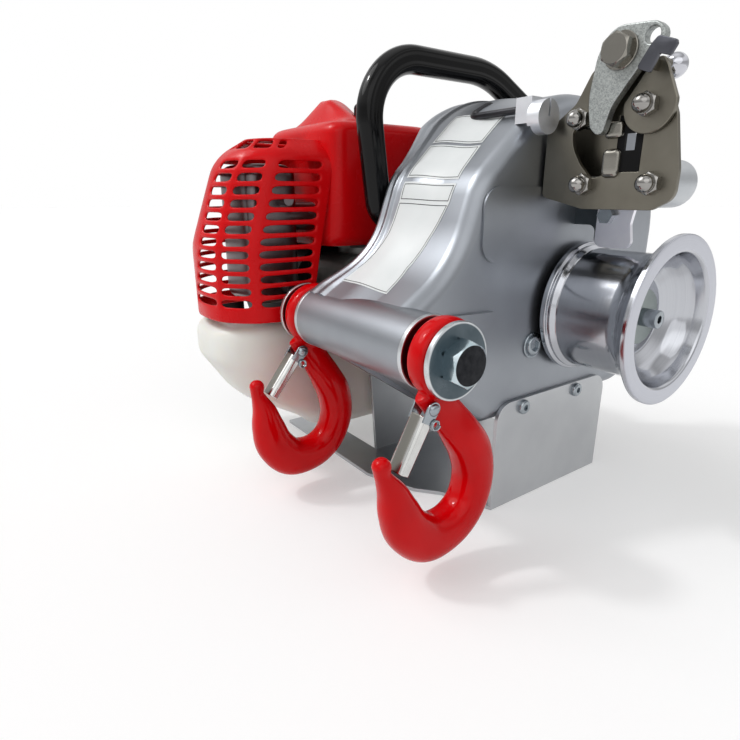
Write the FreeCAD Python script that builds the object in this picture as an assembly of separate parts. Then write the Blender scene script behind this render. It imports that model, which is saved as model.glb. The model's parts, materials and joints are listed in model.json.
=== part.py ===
"""Capstan winch: a petrol engine drives a rope drum through a gear case, with anchor hooks and a gripper.

Millimetres. X runs along the drum axis to its free end, Y from the hooks to the back, Z up.
The origin is on the underside of the base plate, below the drum axis.
"""
import FreeCAD
import Part
import math
import os

# Shared fits and allowances
overrun = 5.0
tiny = 0.01
running_fit = 0.06
seat_fit = 0.04
loose_gap = 0.4

# Gear case, whose length drives its height, its axes and the gear train
case_right_x = 34.0
case_split_x = -36.0
case_bottom_z = 70.0
case_length = 262.0
case_height_share = 0.84
case_height = case_length * case_height_share
hook_axis_y_share = 0.6145
hook_axis_z_share = 0.318
drum_axis_z_share = 0.348
hook_axis_y = -case_length * hook_axis_y_share
hook_axis_z = case_bottom_z + case_height * hook_axis_z_share
drum_axis_z = case_bottom_z + case_height * drum_axis_z_share
case_wall = 6.0
case_edge_round = 11.0
case_cavity_front_share = 0.168
case_cavity_front = case_length * case_cavity_front_share
case_step_shares = [(0.1385, 0.528), (0.203, 0.752), (0.435, 1.0), (1.0, 1.0), (1.0, 0.0), (0.267, 0.0)]
case_step_round_shares = [0.2863, 0.1527, 0.3244, 0.3664, 0.1298, 0.0611]
case_flange_out = 3.0
case_flange_width = 6.0
cover_dome_in = 9.0
cover_dome_width = 8.0
tube_r = 22.0
tube_right_x = 49.0
tube_left_x = -66.0
panel_rise = 1.5
panel_round = 13.0
panel_corner_shares = [(0.2115, 0.519), (0.488, 0.519), (0.488, 0.73), (0.2115, 0.73)]
spear_rise = 3.0
spear_corner_shares = [(0.12, 0.312), (0.262, 0.376), (0.12, 0.383)]
case_screw_r = 2.5
case_screw_head_r = 4.2
case_screw_head = 4.5
case_screw_count = 12
drain_y = -46.5
drain_z = 122.5
drain_flange_r = 9.5
drain_flange = 1.5
drain_head_r = 7.0
drain_head = 2.4
drain_hex_flats = 8.0

# Gear train, with angles in degrees seen along X from +Y
output_module_share = 0.009542
output_module = case_length * output_module_share
output_teeth = 44
middle_module_share = 0.0076336
middle_module = case_length * middle_module_share
middle_teeth = 48
input_module_share = 0.0057252
input_module = case_length * input_module_share
input_teeth = 48
pinion_teeth = 10
second_shaft_angle = 110.0
first_shaft_angle = 215.0
crank_angle = 260.0
tooth_top_share = 0.8
tooth_foot_share = 1.2
tooth_tip_width_share = 0.10
tooth_root_width_share = 0.26
input_gear_x = -33.0
input_gear_width = 8.0
middle_gear_x = -22.0
middle_gear_width = 10.0
output_gear_x = -6.0
output_gear_width = 16.0

# Shafts and bearings
gear_shaft_r_share = 0.0229
gear_shaft_r = case_length * gear_shaft_r_share
gear_bearing_r_share = 0.0496
gear_bearing_r = case_length * gear_bearing_r_share
gear_bearing_width = 8.0
gear_boss_wall_share = 0.013
gear_boss_wall = case_length * gear_boss_wall_share
cover_bearing_depth = 9.0
cover_boss_gap = 2.5
output_shaft_r = 15.0
output_bearing_r = 31.0
output_bearing_width = 14.0
output_boss_wall = 6.0
seal_lip_gap = 0.3
seal_proud = 1.0
snout_length = 18.0

# Capstan drum
drum_back_x = 38.4
drum_back_flange = 4.0
drum_back_lip = 4.5
drum_barrel_r = 42.5
drum_wall = 5.0
drum_rim_x = 108.3
drum_rim_flare = 13.7
drum_rim_lip = 4.0
drum_rim_land = 8.2
drum_edge_round = 1.0
drum_back_round = 2.0
drum_neck_round = 4.0
drum_flare_length = 16.0
drum_cup_floor_x = 84.0
drum_floor = 14.0
drum_hub_r = 24.0
drum_flare_round = 14.0
drum_cup_round = 20.0
drum_washer_r = 19.0
drum_washer = 3.0
drum_bolt_r = 5.0
drum_bolt_head_r = 6.2
drum_bolt_head = 12.0
drum_bolt_grip = 30.0
drum_bolt_hex_flats = 5.0

# Hooks, latches and their bolt
washer_r = 22.25
washer_thick = 3.2
hook_gap = 0.35
hook_eye_thick = 18.4
hook_eye_r = 24.0
hook_eye_round = 8.5
hook_bolt_r = 8.0
hook_bolt_flats = 23.8
hook_bolt_head = 10.0
hook_nut_thick = 10.5
hook_bend_y = -1.0
hook_bend_drop = 78.6
hook_bend_r = 32.9
hook_section_r = 12.9
hook_bend_start = 40.0
hook_bend_end = -168.0
hook_shank_run = 18.0
hook_neck_run = 46.0
hook_neck_thick = 9.4
hook_neck_half = 11.0
hook_horn_run = 29.0
hook_horn_lean = 3.0
hook_tip_r = 7.2
left_hook_swing = -9.0
latch_pivot_y = -10.4
latch_pivot_drop = 27.5
latch_end_y = -27.8
latch_end_drop = 58.2
latch_pin_r = 2.2
latch_pin_head_r = 3.6
latch_pin_head = 1.4
latch_sheet = 1.5
latch_ear_r = 5.0
latch_front_half = 3.6
latch_back_half = 1.8
latch_web_start = 7.0

# Base bracket
sheet = 3.0
base_right_x = case_right_x + sheet
base_left_x = -95.0
base_back_y = 50.0
base_front_y = -81.0
base_side_height = 84.0
base_corner_round = 14.0
base_lean = 9.0
base_wall_height = 76.0
base_notch_shares = [(0.286, -0.115), (0.414, -0.221), (0.737, -0.336)]
tongue_front_y = -125.0
tongue_back_y = -92.0
tongue_end_x = -200.0
base_screw_head_r = 5.5
base_screw_head = 3.2
base_screw_r = 3.0
base_screw_z = 77.5
base_screw_front_y = -54.0
base_screw_back_y = 10.0

# Carrying handle
handle_r = 9.5
handle_x = -61.5
handle_corner_shares = [
    (0.2405, 0.609), (0.181, 0.66), (0.126, 1.1223), (0.584, 1.1227), (0.851, 0.968), (0.9046, 0.7545),
]
handle_rounds = [15.0, 40.0, 80.0, 30.0]
handle_lug_r = 8.0

# Rope keeper rod on top of the case
keeper_rod_r = 2.3
keeper_x = 31.0
keeper_y = -66.0
keeper_lift = 3.6
keeper_reach = 46.0
keeper_back = 22.0
keeper_bend = 8.0
keeper_block = 12.0
keeper_cap_r = 10.0
keeper_cap = 9.0
keeper_slot = 1.2

# Drum guard plate, which keeps the rope on the drum
guard_y = -11.0
guard_left_x = 38.5
guard_right_x = 78.0
guard_drum_gap = 2.4
guard_bottom_z = drum_axis_z + drum_barrel_r + guard_drum_gap
guard_height = 32.0
guard_sheet = 3.0
guard_step_shares = [
    (0.0, 0.45), (0.30, 0.45), (0.30, 0.0), (1.0, 0.0), (0.93, 0.5), (1.0, 1.0), (0.0, 1.0),
]
guard_step_rounds = [4.0, 5.0, 6.0, 5.0, 8.0, 4.0, 3.0]
guard_foot = 22.0
guard_bolt_r = 3.0
guard_bolt_flats = 10.0
guard_bolt_head = 4.5
guard_bolt_share = (0.52, 0.66)

# Rope gripper
grip_face_y = -53.0
grip_sheet = 3.0
grip_gap = 12.0
grip_left_x = 36.0
grip_right_x = 121.5
grip_guard_lap = 6.2
grip_bottom_z = guard_bottom_z + guard_height - grip_guard_lap
grip_height = 84.0
grip_corner_shares = [
    (0.0, 0.085), (0.35, 0.0), (0.86, 0.0), (1.0, 0.075), (1.0, 0.25), (0.937, 0.585),
    (0.874, 0.74), (0.67, 0.98), (0.48, 1.02), (0.32, 0.9), (0.22, 0.715), (0.0, 0.56),
]
grip_corner_rounds = [4.0, 10.0, 8.0, 8.0, 20.0, 10.0, 12.0, 8.0, 6.0, 8.0, 10.0, 4.0]
grip_slot_shares = [
    (0.215, 0.55), (0.225, 0.43), (0.30, 0.31), (0.40, 0.205), (0.50, 0.235), (0.50, 0.52), (0.34, 0.57),
]
grip_slot_rounds = [3.0, 20.0, 20.0, 5.0, 4.0, 3.0, 3.0]
grip_rear_width = 42.0
grip_flange_length = 62.0
grip_flange_height_share = 0.475
grip_pad_r = 6.5
grip_pad_ys = [-22.0, 0.0]
grip_pad_share = 0.3
grip_screw_r = 3.0
grip_screw_head_r = 5.0
grip_screw_head = 3.5
grip_bolt_shares = [(0.281, 0.608), (0.353, 0.171)]
release_pivot_share = (0.771, 0.646)
roller_share = (0.839, 0.17)
grip_bolt_r = 3.0
grip_spacer_r = 5.0
dome_nut_flats = 11.0
dome_nut_hex = 5.0
dome_r = 4.9
rope_window_share = (0.655, 0.425)
rope_window_width = 15.0
rope_window_height = 30.0
jaw_window_width = 6.6
jaw_window_height = 9.0
jaw_window_rise = 1.0
cam_pivot_share = (0.5895, 0.970)
cam_thick = 6.0
cam_standoff = 4.0
cam_corner_shares = [
    (0.50, 1.127), (0.795, 1.098), (0.883, 1.02), (0.724, 0.87),
    (0.561, 0.65), (0.509, 0.449), (0.421, 0.532), (0.386, 0.711), (0.421, 0.961),
]
cam_corner_rounds = [12.0, 8.0, 5.5, 20.0, 20.0, 3.5, 5.0, 40.0, 18.0]
cam_hole_share = (0.777, 1.022)
cam_hole_r = 4.0
cam_bolt_r = 5.0
cam_bolt_flats = 15.0
cam_bolt_head = 6.0
cam_washer_r = 9.5
cam_washer = 1.6
finger_width = 11.0
finger_thick = 2.0
finger_reach = 3.4
finger_share_x = 0.546
finger_upper_share = 0.518
finger_upper_height = 9.5
finger_lower_share = 0.306
finger_lower_height = 16.0
release_thick = 3.0
release_disc_r = 14.5
release_tab_shares = [(0.76, 0.845), (0.85, 0.999), (0.985, 0.936), (0.968, 0.868), (0.853, 0.799)]
release_tab_lift = 12.0
release_arm_half = 5.0
knob_r = 6.5
knob_stem_r = 2.5
knob_depth = 10.2
knob_share = (0.815, 0.877)
roller_r = 13.0
roller_length = 22.0
roller_pin_r = 4.0
roller_pin_head_r = 6.0
roller_pin_head = 3.0

# Engine block and clutch; the engine's fore and aft places and rises are measured from the crank axis
engine_right_x = -92.0
clutch_bell_r_share = 0.1985
clutch_bell_r = case_length * clutch_bell_r_share
clutch_bell_wall = 4.0
clutch_drum_r_share = 0.1527
clutch_drum_r = case_length * clutch_drum_r_share
clutch_drum_wall = 3.5
clutch_drum_depth = 20.0
clutch_shoe_gap = 1.0
clutch_shoe_slot = 2.4
clutch_shoe_width = 14.0
clutch_hub_r = 14.0
crankcase_length = 62.0
crankcase_half = 44.0
crankcase_drop = 36.0
crankcase_rise = 44.0
crankcase_round = 12.0
crank_r = 8.5
crank_end_x = -226.0
cylinder_half = 32.0
cylinder_core_r = 24.0
cylinder_fins = 7
cylinder_fin_pitch = 9.0
cylinder_fin = 3.0
flywheel_gap = 7.0
flywheel_x = -198.0
flywheel_width = 18.0
flywheel_hub_r = 20.0
flywheel_vanes = 12
flywheel_vane = 10.0
flywheel_vane_thick = 3.0
starter_left_x = -276.0
starter_right_x = -174.0
starter_r = 62.0
starter_nose_in = 22.0
starter_wall = 3.0
flywheel_r = starter_r - starter_wall - flywheel_gap
starter_round = 14.0
grip_handle_r = 8.0
grip_handle_length = 46.0
starter_rope_r = 1.8
starter_rope_tail = 66.0
starter_rope_rise_share = 0.58
starter_rope_rise = starter_r * starter_rope_rise_share
starter_rope_x = -240.0
starter_eyelet_r = 8.0

# Engine covers
shell = 2.5
shroud_right_x = -97.0
shroud_left_x = -214.0
shroud_front = -56.0
shroud_front_lean = 14.0
shroud_back = 56.0
shroud_bottom = 53.0
shroud_top = 147.0
shroud_round = 16.0
shroud_top_in = 8.0
shroud_shoulder = 18.0
peak_x = -150.0
peak_ahead = -23.0
peak_rise = 168.0
peak_foot_half_x = 44.0
peak_foot_front = 9.0
peak_foot_back = 52.0
peak_foot_round = 12.0
peak_top_r = 8.0
cover_right_x = -103.0
cover_left_x = -206.0
cover_levels_rise = [-3.0, 54.0, 116.0, 132.0]
cover_fronts = [-141.0, -142.0, -122.0, -105.0]
cover_backs = [-71.0, -60.0, -46.4, -43.0]
cover_level_in = [0.0, 0.0, 0.0, 12.0]
cover_left_in = [0.0, 2.0, 14.0, 34.0]
cover_level_round = [46.0, 46.0, 40.0, 24.0]
cover_back_round = 4.0
slot_rows = 12
slot_pitch = 9.2
slot_height = 5.4
slot_top = 117.0
slot_side_start = 32.0
slot_side_length = 38.0
slot_side_growth = 7.0
slot_corner_length = 17.0
slot_corner_growth = 10.0
slot_front_length = 19.0
slot_front_growth = 17.0
slot_depth = 16.0
slot_corner_turns = [-4.0, 2.0]
slot_front_turns = [23.0, 46.0]
top_slots = 5
top_slot_length = 30.0
muffler_right_x = -126.0
muffler_left_x = -164.0
muffler_front = -112.0
muffler_back = -74.0
muffler_bottom = 10.0
muffler_top = 100.0
muffler_round = 12.0
muffler_pipe_r = 11.0
muffler_post_r = 4.0

# Fuel tank and fuel cap
tank_right_x = -112.0
tank_left_x = -206.0
tank_front = -141.0
tank_back = 106.0
tank_bottom_z = 21.0
tank_belly_z = 62.0
tank_belly_depth = 24.0
tank_slope_depth = 88.0
tank_front_top = -8.0
tank_front_depth = 66.0
tank_bottom_in = 14.0
tank_bottom_rise = 12.0
tank_round = 34.0
tank_top_in = 5.0
tank_top_drop = 7.0
filler_left_x = -254.0
filler_right_x = -190.0
filler_front = -106.0
filler_back = -72.0
filler_bottom = -70.0
filler_top = -18.0
filler_round = 12.0
cap_x = -235.0
cap_ahead = -89.0
cap_r = 15.0
cap_height = 14.0
cap_edge_round = 1.75
cap_plug_r = 10.0
cap_plug = 8.0

# Carburettor, air cleaner and controls
carb_x = -137.0
carb_rise = 29.0
carb_half = 16.0
cleaner_half_x = 40.0
cleaner_back = 129.0
cleaner_front = 84.0
cleaner_bottom = -16.0
cleaner_top = 74.0
cleaner_round = 12.0
primer_r = 7.6
primer_wall = 2.4
primer_seat = 10.0
primer_travel = 4.0
primer_body = 8.0
choke_thick = 3.0
choke_length = 16.0
choke_half = 4.0
choke_pivot_r = 3.0
throttle_x = -112.0
throttle_ahead = -6.0
throttle_thick = 4.0
throttle_length = 14.0
throttle_half = 5.0
throttle_knob_r = 6.0
throttle_pivot_r = 3.0
throttle_post = 8.0
throttle_post_half = 7.0
switch_behind = 18.0
switch_rise = 92.0
switch_half = 9.0
switch_thick = 5.0
switch_button_r = 5.0
switch_travel = 2.5

PIECES = {}


def vec(x, y, z):
    return FreeCAD.Vector(x, y, z)


def add(name, shape):
    PIECES[name] = shape


def place(plane, level, u, v):
    """A point at (u, v) on the plane that is square to the named axis at that level."""
    if plane == "x":
        return vec(level, u, v)
    if plane == "y":
        return vec(u, level, v)
    return vec(u, v, level)


def along(plane, length):
    return place(plane, length, 0, 0)


def rounded_wire(plane, level, corners, rounds):
    """A closed outline whose corners are rounded by tangent arcs."""
    count = len(corners)
    stretches = []
    for i in range(count):
        here = FreeCAD.Vector(corners[i][0], corners[i][1], 0)
        before = FreeCAD.Vector(corners[i - 1][0], corners[i - 1][1], 0)
        after = FreeCAD.Vector(corners[(i + 1) % count][0], corners[(i + 1) % count][1], 0)
        a = (before - here).normalize()
        b = (after - here).normalize()
        half = a.getAngle(b) / 2
        reach = rounds[i] / math.tan(half)
        inner = here + (a + b).normalize() * (rounds[i] / math.sin(half) - rounds[i])
        stretches.append((here + a * reach, inner, here + b * reach, rounds[i]))
    edges = []
    for i in range(count):
        start, middle, end, radius = stretches[i]
        points = [place(plane, level, p.x, p.y) for p in (start, middle, end)]
        if radius > 0:
            edges.append(Part.Arc(*points).toShape())
        next_start = place(plane, level, stretches[(i + 1) % count][0].x, stretches[(i + 1) % count][0].y)
        if (next_start - points[2]).Length > tiny:
            edges.append(Part.LineSegment(points[2], next_start).toShape())
    return Part.Wire(edges)


def prism(plane, start, end, corners, rounds):
    face = Part.Face(rounded_wire(plane, start, corners, rounds))
    return face.extrude(along(plane, end - start))


def plate(plane, start, end, corners, radius):
    return prism(plane, start, end, corners, [radius] * len(corners))


def block(x0, x1, y0, y1, z0, z1):
    return Part.makeBox(x1 - x0, y1 - y0, z1 - z0, vec(x0, y0, z0))


def rod(plane, radius, start, end, u, v):
    return Part.makeCylinder(radius, end - start, place(plane, start, u, v), along(plane, 1))


def ring(plane, outer, inner, start, end, u, v):
    return rod(plane, outer, start, end, u, v).cut(rod(plane, inner, start - overrun, end + overrun, u,
                                                       v))


def hexagon(plane, flats, start, end, u, v):
    radius = flats / math.sqrt(3)
    turns = [math.radians(60 * k) for k in range(6)]
    return plate(plane, start, end, [(u + radius * math.cos(t), v + radius * math.sin(t)) for t in turns],
                 0)


def turned(profile, rounds, y, z):
    """A solid of revolution about the line along X through (y, z), from a profile of (x, radius) corners."""
    corners = [(x, z + r) for x, r in profile]
    face = Part.Face(rounded_wire("y", y, corners, rounds))
    return face.revolve(vec(0, y, z), vec(1, 0, 0), 360)


def united(shapes):
    body = shapes[0]
    for other in shapes[1:]:
        body = body.fuse(other)
    return body.removeSplitter()


def group(shapes):
    return Part.makeCompound(shapes)


def bent_rod(radius, points, rounds):
    """A round rod along straight runs joined by tangent arcs."""
    edges = []
    last = points[0]
    for i in range(1, len(points) - 1):
        here = points[i]
        a = (points[i - 1] - here).normalize()
        b = (points[i + 1] - here).normalize()
        half = a.getAngle(b) / 2
        reach = rounds[i - 1] / math.tan(half)
        start = here + a * reach
        end = here + b * reach
        middle = here + (a + b).normalize() * (rounds[i - 1] / math.sin(half) - rounds[i - 1])
        edges.append(Part.LineSegment(last, start).toShape())
        edges.append(Part.Arc(start, middle, end).toShape())
        last = end
    edges.append(Part.LineSegment(last, points[-1]).toShape())
    section = Part.Wire(Part.makeCircle(radius, points[0], points[1] - points[0]))
    return Part.Wire(edges).makePipeShell([section], True, False)


def shifted(centre, distance, degrees):
    turn = math.radians(degrees)
    return centre[0] + distance * math.cos(turn), centre[1] + distance * math.sin(turn)


def mesh_distance(module, teeth):
    return module * (teeth + pinion_teeth) / 2


DRUM = (0, drum_axis_z)
SECOND = shifted(DRUM, mesh_distance(output_module, output_teeth), second_shaft_angle)
FIRST = shifted(SECOND, mesh_distance(middle_module, middle_teeth), first_shaft_angle)
CRANK = shifted(FIRST, mesh_distance(input_module, input_teeth), crank_angle)
COVER_OUTER_X = case_split_x - case_flange_width - cover_dome_width
GEAR_BOSS_R = gear_bearing_r + gear_boss_wall
SHROUD_FRONT_Y = CRANK[0] + shroud_front
SHROUD_BACK_Y = CRANK[0] + shroud_back
PEAK_Y = CRANK[0] + peak_ahead
MUFFLER_FRONT_Y = CRANK[0] + muffler_front
MUFFLER_BACK_Y = CRANK[0] + muffler_back
TANK_FRONT_Y = CRANK[0] + tank_front
TANK_BACK_Y = CRANK[0] + tank_back
FILLER_FRONT_Y = CRANK[0] + filler_front
FILLER_BACK_Y = CRANK[0] + filler_back
CAP_Y = CRANK[0] + cap_ahead
CLEANER_BACK_Y = CRANK[0] + cleaner_back
CLEANER_FRONT_Y = CRANK[0] + cleaner_front
THROTTLE_Y = CRANK[0] + throttle_ahead
SWITCH_Y = CRANK[0] + switch_behind
SHROUD_BOTTOM_Z = CRANK[1] + shroud_bottom
SHROUD_TOP_Z = CRANK[1] + shroud_top
PEAK_Z = CRANK[1] + peak_rise
SLOT_TOP_Z = CRANK[1] + slot_top
MUFFLER_BOTTOM_Z = CRANK[1] + muffler_bottom
MUFFLER_TOP_Z = CRANK[1] + muffler_top
TANK_FRONT_TOP_Z = CRANK[1] + tank_front_top
FILLER_BOTTOM_Z = CRANK[1] + filler_bottom
FILLER_TOP_Z = CRANK[1] + filler_top
CARB_Z = CRANK[1] + carb_rise
CLEANER_BOTTOM_Z = CRANK[1] + cleaner_bottom
CLEANER_TOP_Z = CRANK[1] + cleaner_top
SWITCH_Z = CRANK[1] + switch_rise
COVER_LEVEL_Z = [CRANK[1] + offset for offset in cover_levels_rise]
COVER_FRONT_Y = [CRANK[0] + offset for offset in cover_fronts]
COVER_BACK_Y = [CRANK[0] + offset for offset in cover_backs]


def matched_phase(centre, teeth, phase, other_centre, other_teeth):
    """The turn that puts the other gear's gap on this gear's tooth along the line of centres."""
    line = math.atan2(other_centre[1] - centre[1], other_centre[0] - centre[0])
    here = (line - phase) * teeth / (2 * math.pi)
    return line + math.pi - 2 * math.pi / other_teeth * (0.5 - here)


def gear(module, teeth, start, width, centre, phase):
    """A spur gear with straight-sided teeth, cut as one outline along X."""
    pitch_r = module * teeth / 2
    tip_r = pitch_r + module * tooth_top_share
    root_r = pitch_r - module * tooth_foot_share
    pitch = 2 * math.pi / teeth
    outline = []
    for k in range(teeth):
        for radius, offset in (
            (root_r, -tooth_root_width_share),
            (tip_r, -tooth_tip_width_share),
            (tip_r, tooth_tip_width_share),
            (root_r, tooth_root_width_share),
        ):
            turn = phase + pitch * (k + offset)
            outline.append((centre[0] + radius * math.cos(turn), centre[1] + radius * math.sin(turn)))
    return plate("x", start, start + width, outline, 0)


def case_corner(share):
    return hook_axis_y + share[0] * case_length, case_bottom_z + share[1] * case_height


def case_face(level, offset):
    """The case's side outline, grown or shrunk by the offset."""
    nose = [(hook_axis_y, hook_axis_z - tube_r), (hook_axis_y, hook_axis_z + tube_r)]
    corners = nose + [case_corner(s) for s in case_step_shares]
    face = Part.Face(rounded_wire("x", level, corners, [0,
                                                        0] + [s * case_length for s in case_step_round_shares]))
    if offset:
        return face.makeOffset2D(offset)
    return face


def gear_housing():
    body = case_face(case_split_x, 0).extrude(vec(case_right_x - case_split_x, 0, 0))
    rim = []
    for edge in body.Edges:
        box = edge.BoundBox
        if box.XMin > case_right_x - tiny and box.YMax > hook_axis_y + tiny:
            rim.append(edge)
    body = body.makeFillet(case_edge_round, rim)
    flange = case_face(case_split_x, case_flange_out).extrude(vec(case_flange_width, 0, 0))
    tube = rod("x", tube_r, tube_left_x, tube_right_x, hook_axis_y, hook_axis_z)
    panel = plate("x", case_right_x - tiny, case_right_x + panel_rise,
                  [case_corner(s) for s in panel_corner_shares], panel_round)
    spear = plate("x", case_right_x - tiny, case_right_x + spear_rise,
                  [case_corner(s) for s in spear_corner_shares], 0)
    body = united([body, flange, tube, panel, spear])
    inner_x = case_right_x - case_wall
    cavity = case_face(case_split_x - overrun, -case_wall).extrude(vec(inner_x - case_split_x + overrun,
                                                                       0, 0))
    front = hook_axis_y + case_cavity_front
    cavity = cavity.common(block(case_split_x - overrun, case_right_x, front, hook_axis_y + case_length,
                                 case_bottom_z, case_bottom_z + case_height))
    bearing_x = inner_x - output_bearing_width
    bosses = [rod("x", output_bearing_r + output_boss_wall, bearing_x, inner_x + tiny, *DRUM)]
    for centre in (FIRST, SECOND):
        bosses.append(rod("x", GEAR_BOSS_R, output_gear_x + output_gear_width + overrun, inner_x + tiny,
                          *centre))
    cavity = cavity.cut(united(bosses))
    body = body.cut(cavity)
    body = body.cut(rod("x", output_bearing_r + seat_fit, bearing_x - overrun, case_right_x + overrun,
                        *DRUM))
    for centre in (FIRST, SECOND):
        body = body.cut(rod("x", gear_bearing_r + seat_fit, inner_x - gear_bearing_width - overrun,
                            inner_x, *centre))
    body = body.cut(rod("x", hook_bolt_r + running_fit, tube_left_x - overrun, tube_right_x + overrun,
                        hook_axis_y, hook_axis_z))
    return body.removeSplitter()


def housing_cover():
    flange = case_face(case_split_x - case_flange_width, case_flange_out).extrude(vec(case_flange_width,
                                                                                      0, 0))
    dome = case_face(COVER_OUTER_X, -cover_dome_in).extrude(vec(cover_dome_width + tiny, 0, 0))
    boss_end = output_gear_x - cover_boss_gap
    boss = rod("x", GEAR_BOSS_R, case_split_x - tiny, boss_end, *DRUM)
    snout = rod("x", GEAR_BOSS_R, COVER_OUTER_X - snout_length, COVER_OUTER_X + tiny, *CRANK)
    body = united([flange, dome, boss, snout])
    body = body.cut(rod("x", tube_r + loose_gap, tube_left_x, tube_right_x, hook_axis_y, hook_axis_z))
    seat = gear_bearing_r + seat_fit
    for centre in (FIRST, SECOND):
        body = body.cut(rod("x", seat, case_split_x - cover_bearing_depth, case_split_x + overrun,
                            *centre))
    body = body.cut(rod("x", seat, boss_end - gear_bearing_width, boss_end + overrun, *DRUM))
    body = body.cut(rod("x", gear_shaft_r + loose_gap, COVER_OUTER_X - snout_length - overrun,
                        case_split_x + overrun, *CRANK))
    body = body.cut(rod("x", seat, case_split_x - gear_bearing_width, case_split_x + overrun, *CRANK))
    body = body.cut(rod("x", seat, COVER_OUTER_X - snout_length - overrun,
                        COVER_OUTER_X - snout_length + gear_bearing_width, *CRANK))
    for y, z in cover_screw_places():
        body = body.cut(rod("x", case_screw_r + seat_fit, COVER_OUTER_X - overrun, case_split_x + overrun,
                            y, z))
    return body.removeSplitter()


def cover_screw_places():
    """Screw places along the flange, left out where the cross tube passes."""
    middle = (case_flange_out - cover_dome_in) / 2
    path = case_face(0, middle).OuterWire
    places = []
    for point in path.discretize(case_screw_count + 1)[:-1]:
        if point.y > hook_axis_y + case_cavity_front:
            places.append((point.y, point.z))
    return places


def housing_screws():
    seat_x = case_split_x - case_flange_width
    screws = []
    for y, z in cover_screw_places():
        head = rod("x", case_screw_head_r, seat_x - case_screw_head, seat_x, y, z)
        shank = rod("x", case_screw_r, seat_x - tiny, case_split_x, y, z)
        screws.append(united([head, shank]))
    return group(screws)


def drain_screw():
    top = case_right_x + drain_flange + drain_head
    body = united([
        rod("x", drain_flange_r, case_right_x, case_right_x + drain_flange, drain_y, drain_z),
        rod("x", drain_head_r, case_right_x + drain_flange - tiny, top, drain_y, drain_z),
    ])
    return body.cut(hexagon("x", drain_hex_flats, case_right_x + drain_flange, top + overrun, drain_y,
                            drain_z))


def drum_seal():
    return ring("x", output_bearing_r, output_shaft_r + seal_lip_gap, case_right_x - case_wall,
                case_right_x + seal_proud, *DRUM)


def output_bearing():
    inner_x = case_right_x - case_wall
    return ring("x", output_bearing_r, output_shaft_r + running_fit, inner_x - output_bearing_width,
                inner_x, *DRUM)


def gear_shaft_bearings():
    inner_x = case_right_x - case_wall
    starts = [(case_split_x - gear_bearing_width, FIRST), (inner_x - gear_bearing_width, FIRST),
              (case_split_x - gear_bearing_width, SECOND), (inner_x - gear_bearing_width, SECOND),
              (case_split_x - gear_bearing_width, CRANK), (COVER_OUTER_X - snout_length, CRANK),
              (output_gear_x - cover_boss_gap - gear_bearing_width, DRUM)]
    rings = []
    for start, centre in starts:
        rings.append(ring("x", gear_bearing_r, gear_shaft_r + running_fit, start,
                          start + gear_bearing_width, *centre))
    return group(rings)


def gear_phases():
    second = matched_phase(DRUM, output_teeth, 0, SECOND, pinion_teeth)
    first = matched_phase(SECOND, middle_teeth, second, FIRST, pinion_teeth)
    return second, first, matched_phase(FIRST, input_teeth, first, CRANK, pinion_teeth)


def output_gear():
    wheel = gear(output_module, output_teeth, output_gear_x, output_gear_width, DRUM, 0)
    return wheel.cut(rod("x", output_shaft_r, output_gear_x - overrun,
                         output_gear_x + output_gear_width + overrun,
                         *DRUM))


def output_shaft():
    journal = rod("x", gear_shaft_r, output_gear_x - cover_boss_gap - gear_bearing_width,
                  output_gear_x + tiny, *DRUM)
    body = rod("x", output_shaft_r, output_gear_x, drum_cup_floor_x, *DRUM)
    shaft = united([journal, body])
    return shaft.cut(rod("x", drum_bolt_r, drum_cup_floor_x - drum_bolt_grip, drum_cup_floor_x + overrun,
                         *DRUM))


def second_countershaft():
    phase = gear_phases()[0]
    end = case_right_x - case_wall
    wheel = gear(middle_module, middle_teeth, middle_gear_x, middle_gear_width, SECOND, phase)
    pinion = gear(output_module, pinion_teeth, output_gear_x, output_gear_width, SECOND, phase)
    shaft = rod("x", gear_shaft_r, case_split_x - gear_bearing_width, end - tiny, *SECOND)
    return united([wheel, pinion, shaft])


def first_countershaft():
    phase = gear_phases()[1]
    end = case_right_x - case_wall
    wheel = gear(input_module, input_teeth, input_gear_x, input_gear_width, FIRST, phase)
    pinion = gear(middle_module, pinion_teeth, middle_gear_x, middle_gear_width, FIRST, phase)
    shaft = rod("x", gear_shaft_r, case_split_x - gear_bearing_width, end - tiny, *FIRST)
    return united([wheel, pinion, shaft])


def clutch_drum():
    phase = gear_phases()[2]
    pinion = gear(input_module, pinion_teeth, input_gear_x, input_gear_width, CRANK, phase)
    floor_x = COVER_OUTER_X - snout_length - loose_gap
    shaft = rod("x", gear_shaft_r, floor_x - clutch_drum_wall, input_gear_x + tiny, *CRANK)
    cup = rod("x", clutch_drum_r, floor_x - clutch_drum_depth, floor_x, *CRANK)
    hollow = rod("x", clutch_drum_r - clutch_drum_wall, floor_x - clutch_drum_depth - overrun,
                 floor_x - clutch_drum_wall, *CRANK)
    return united([pinion, shaft, cup.cut(hollow)])


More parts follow.
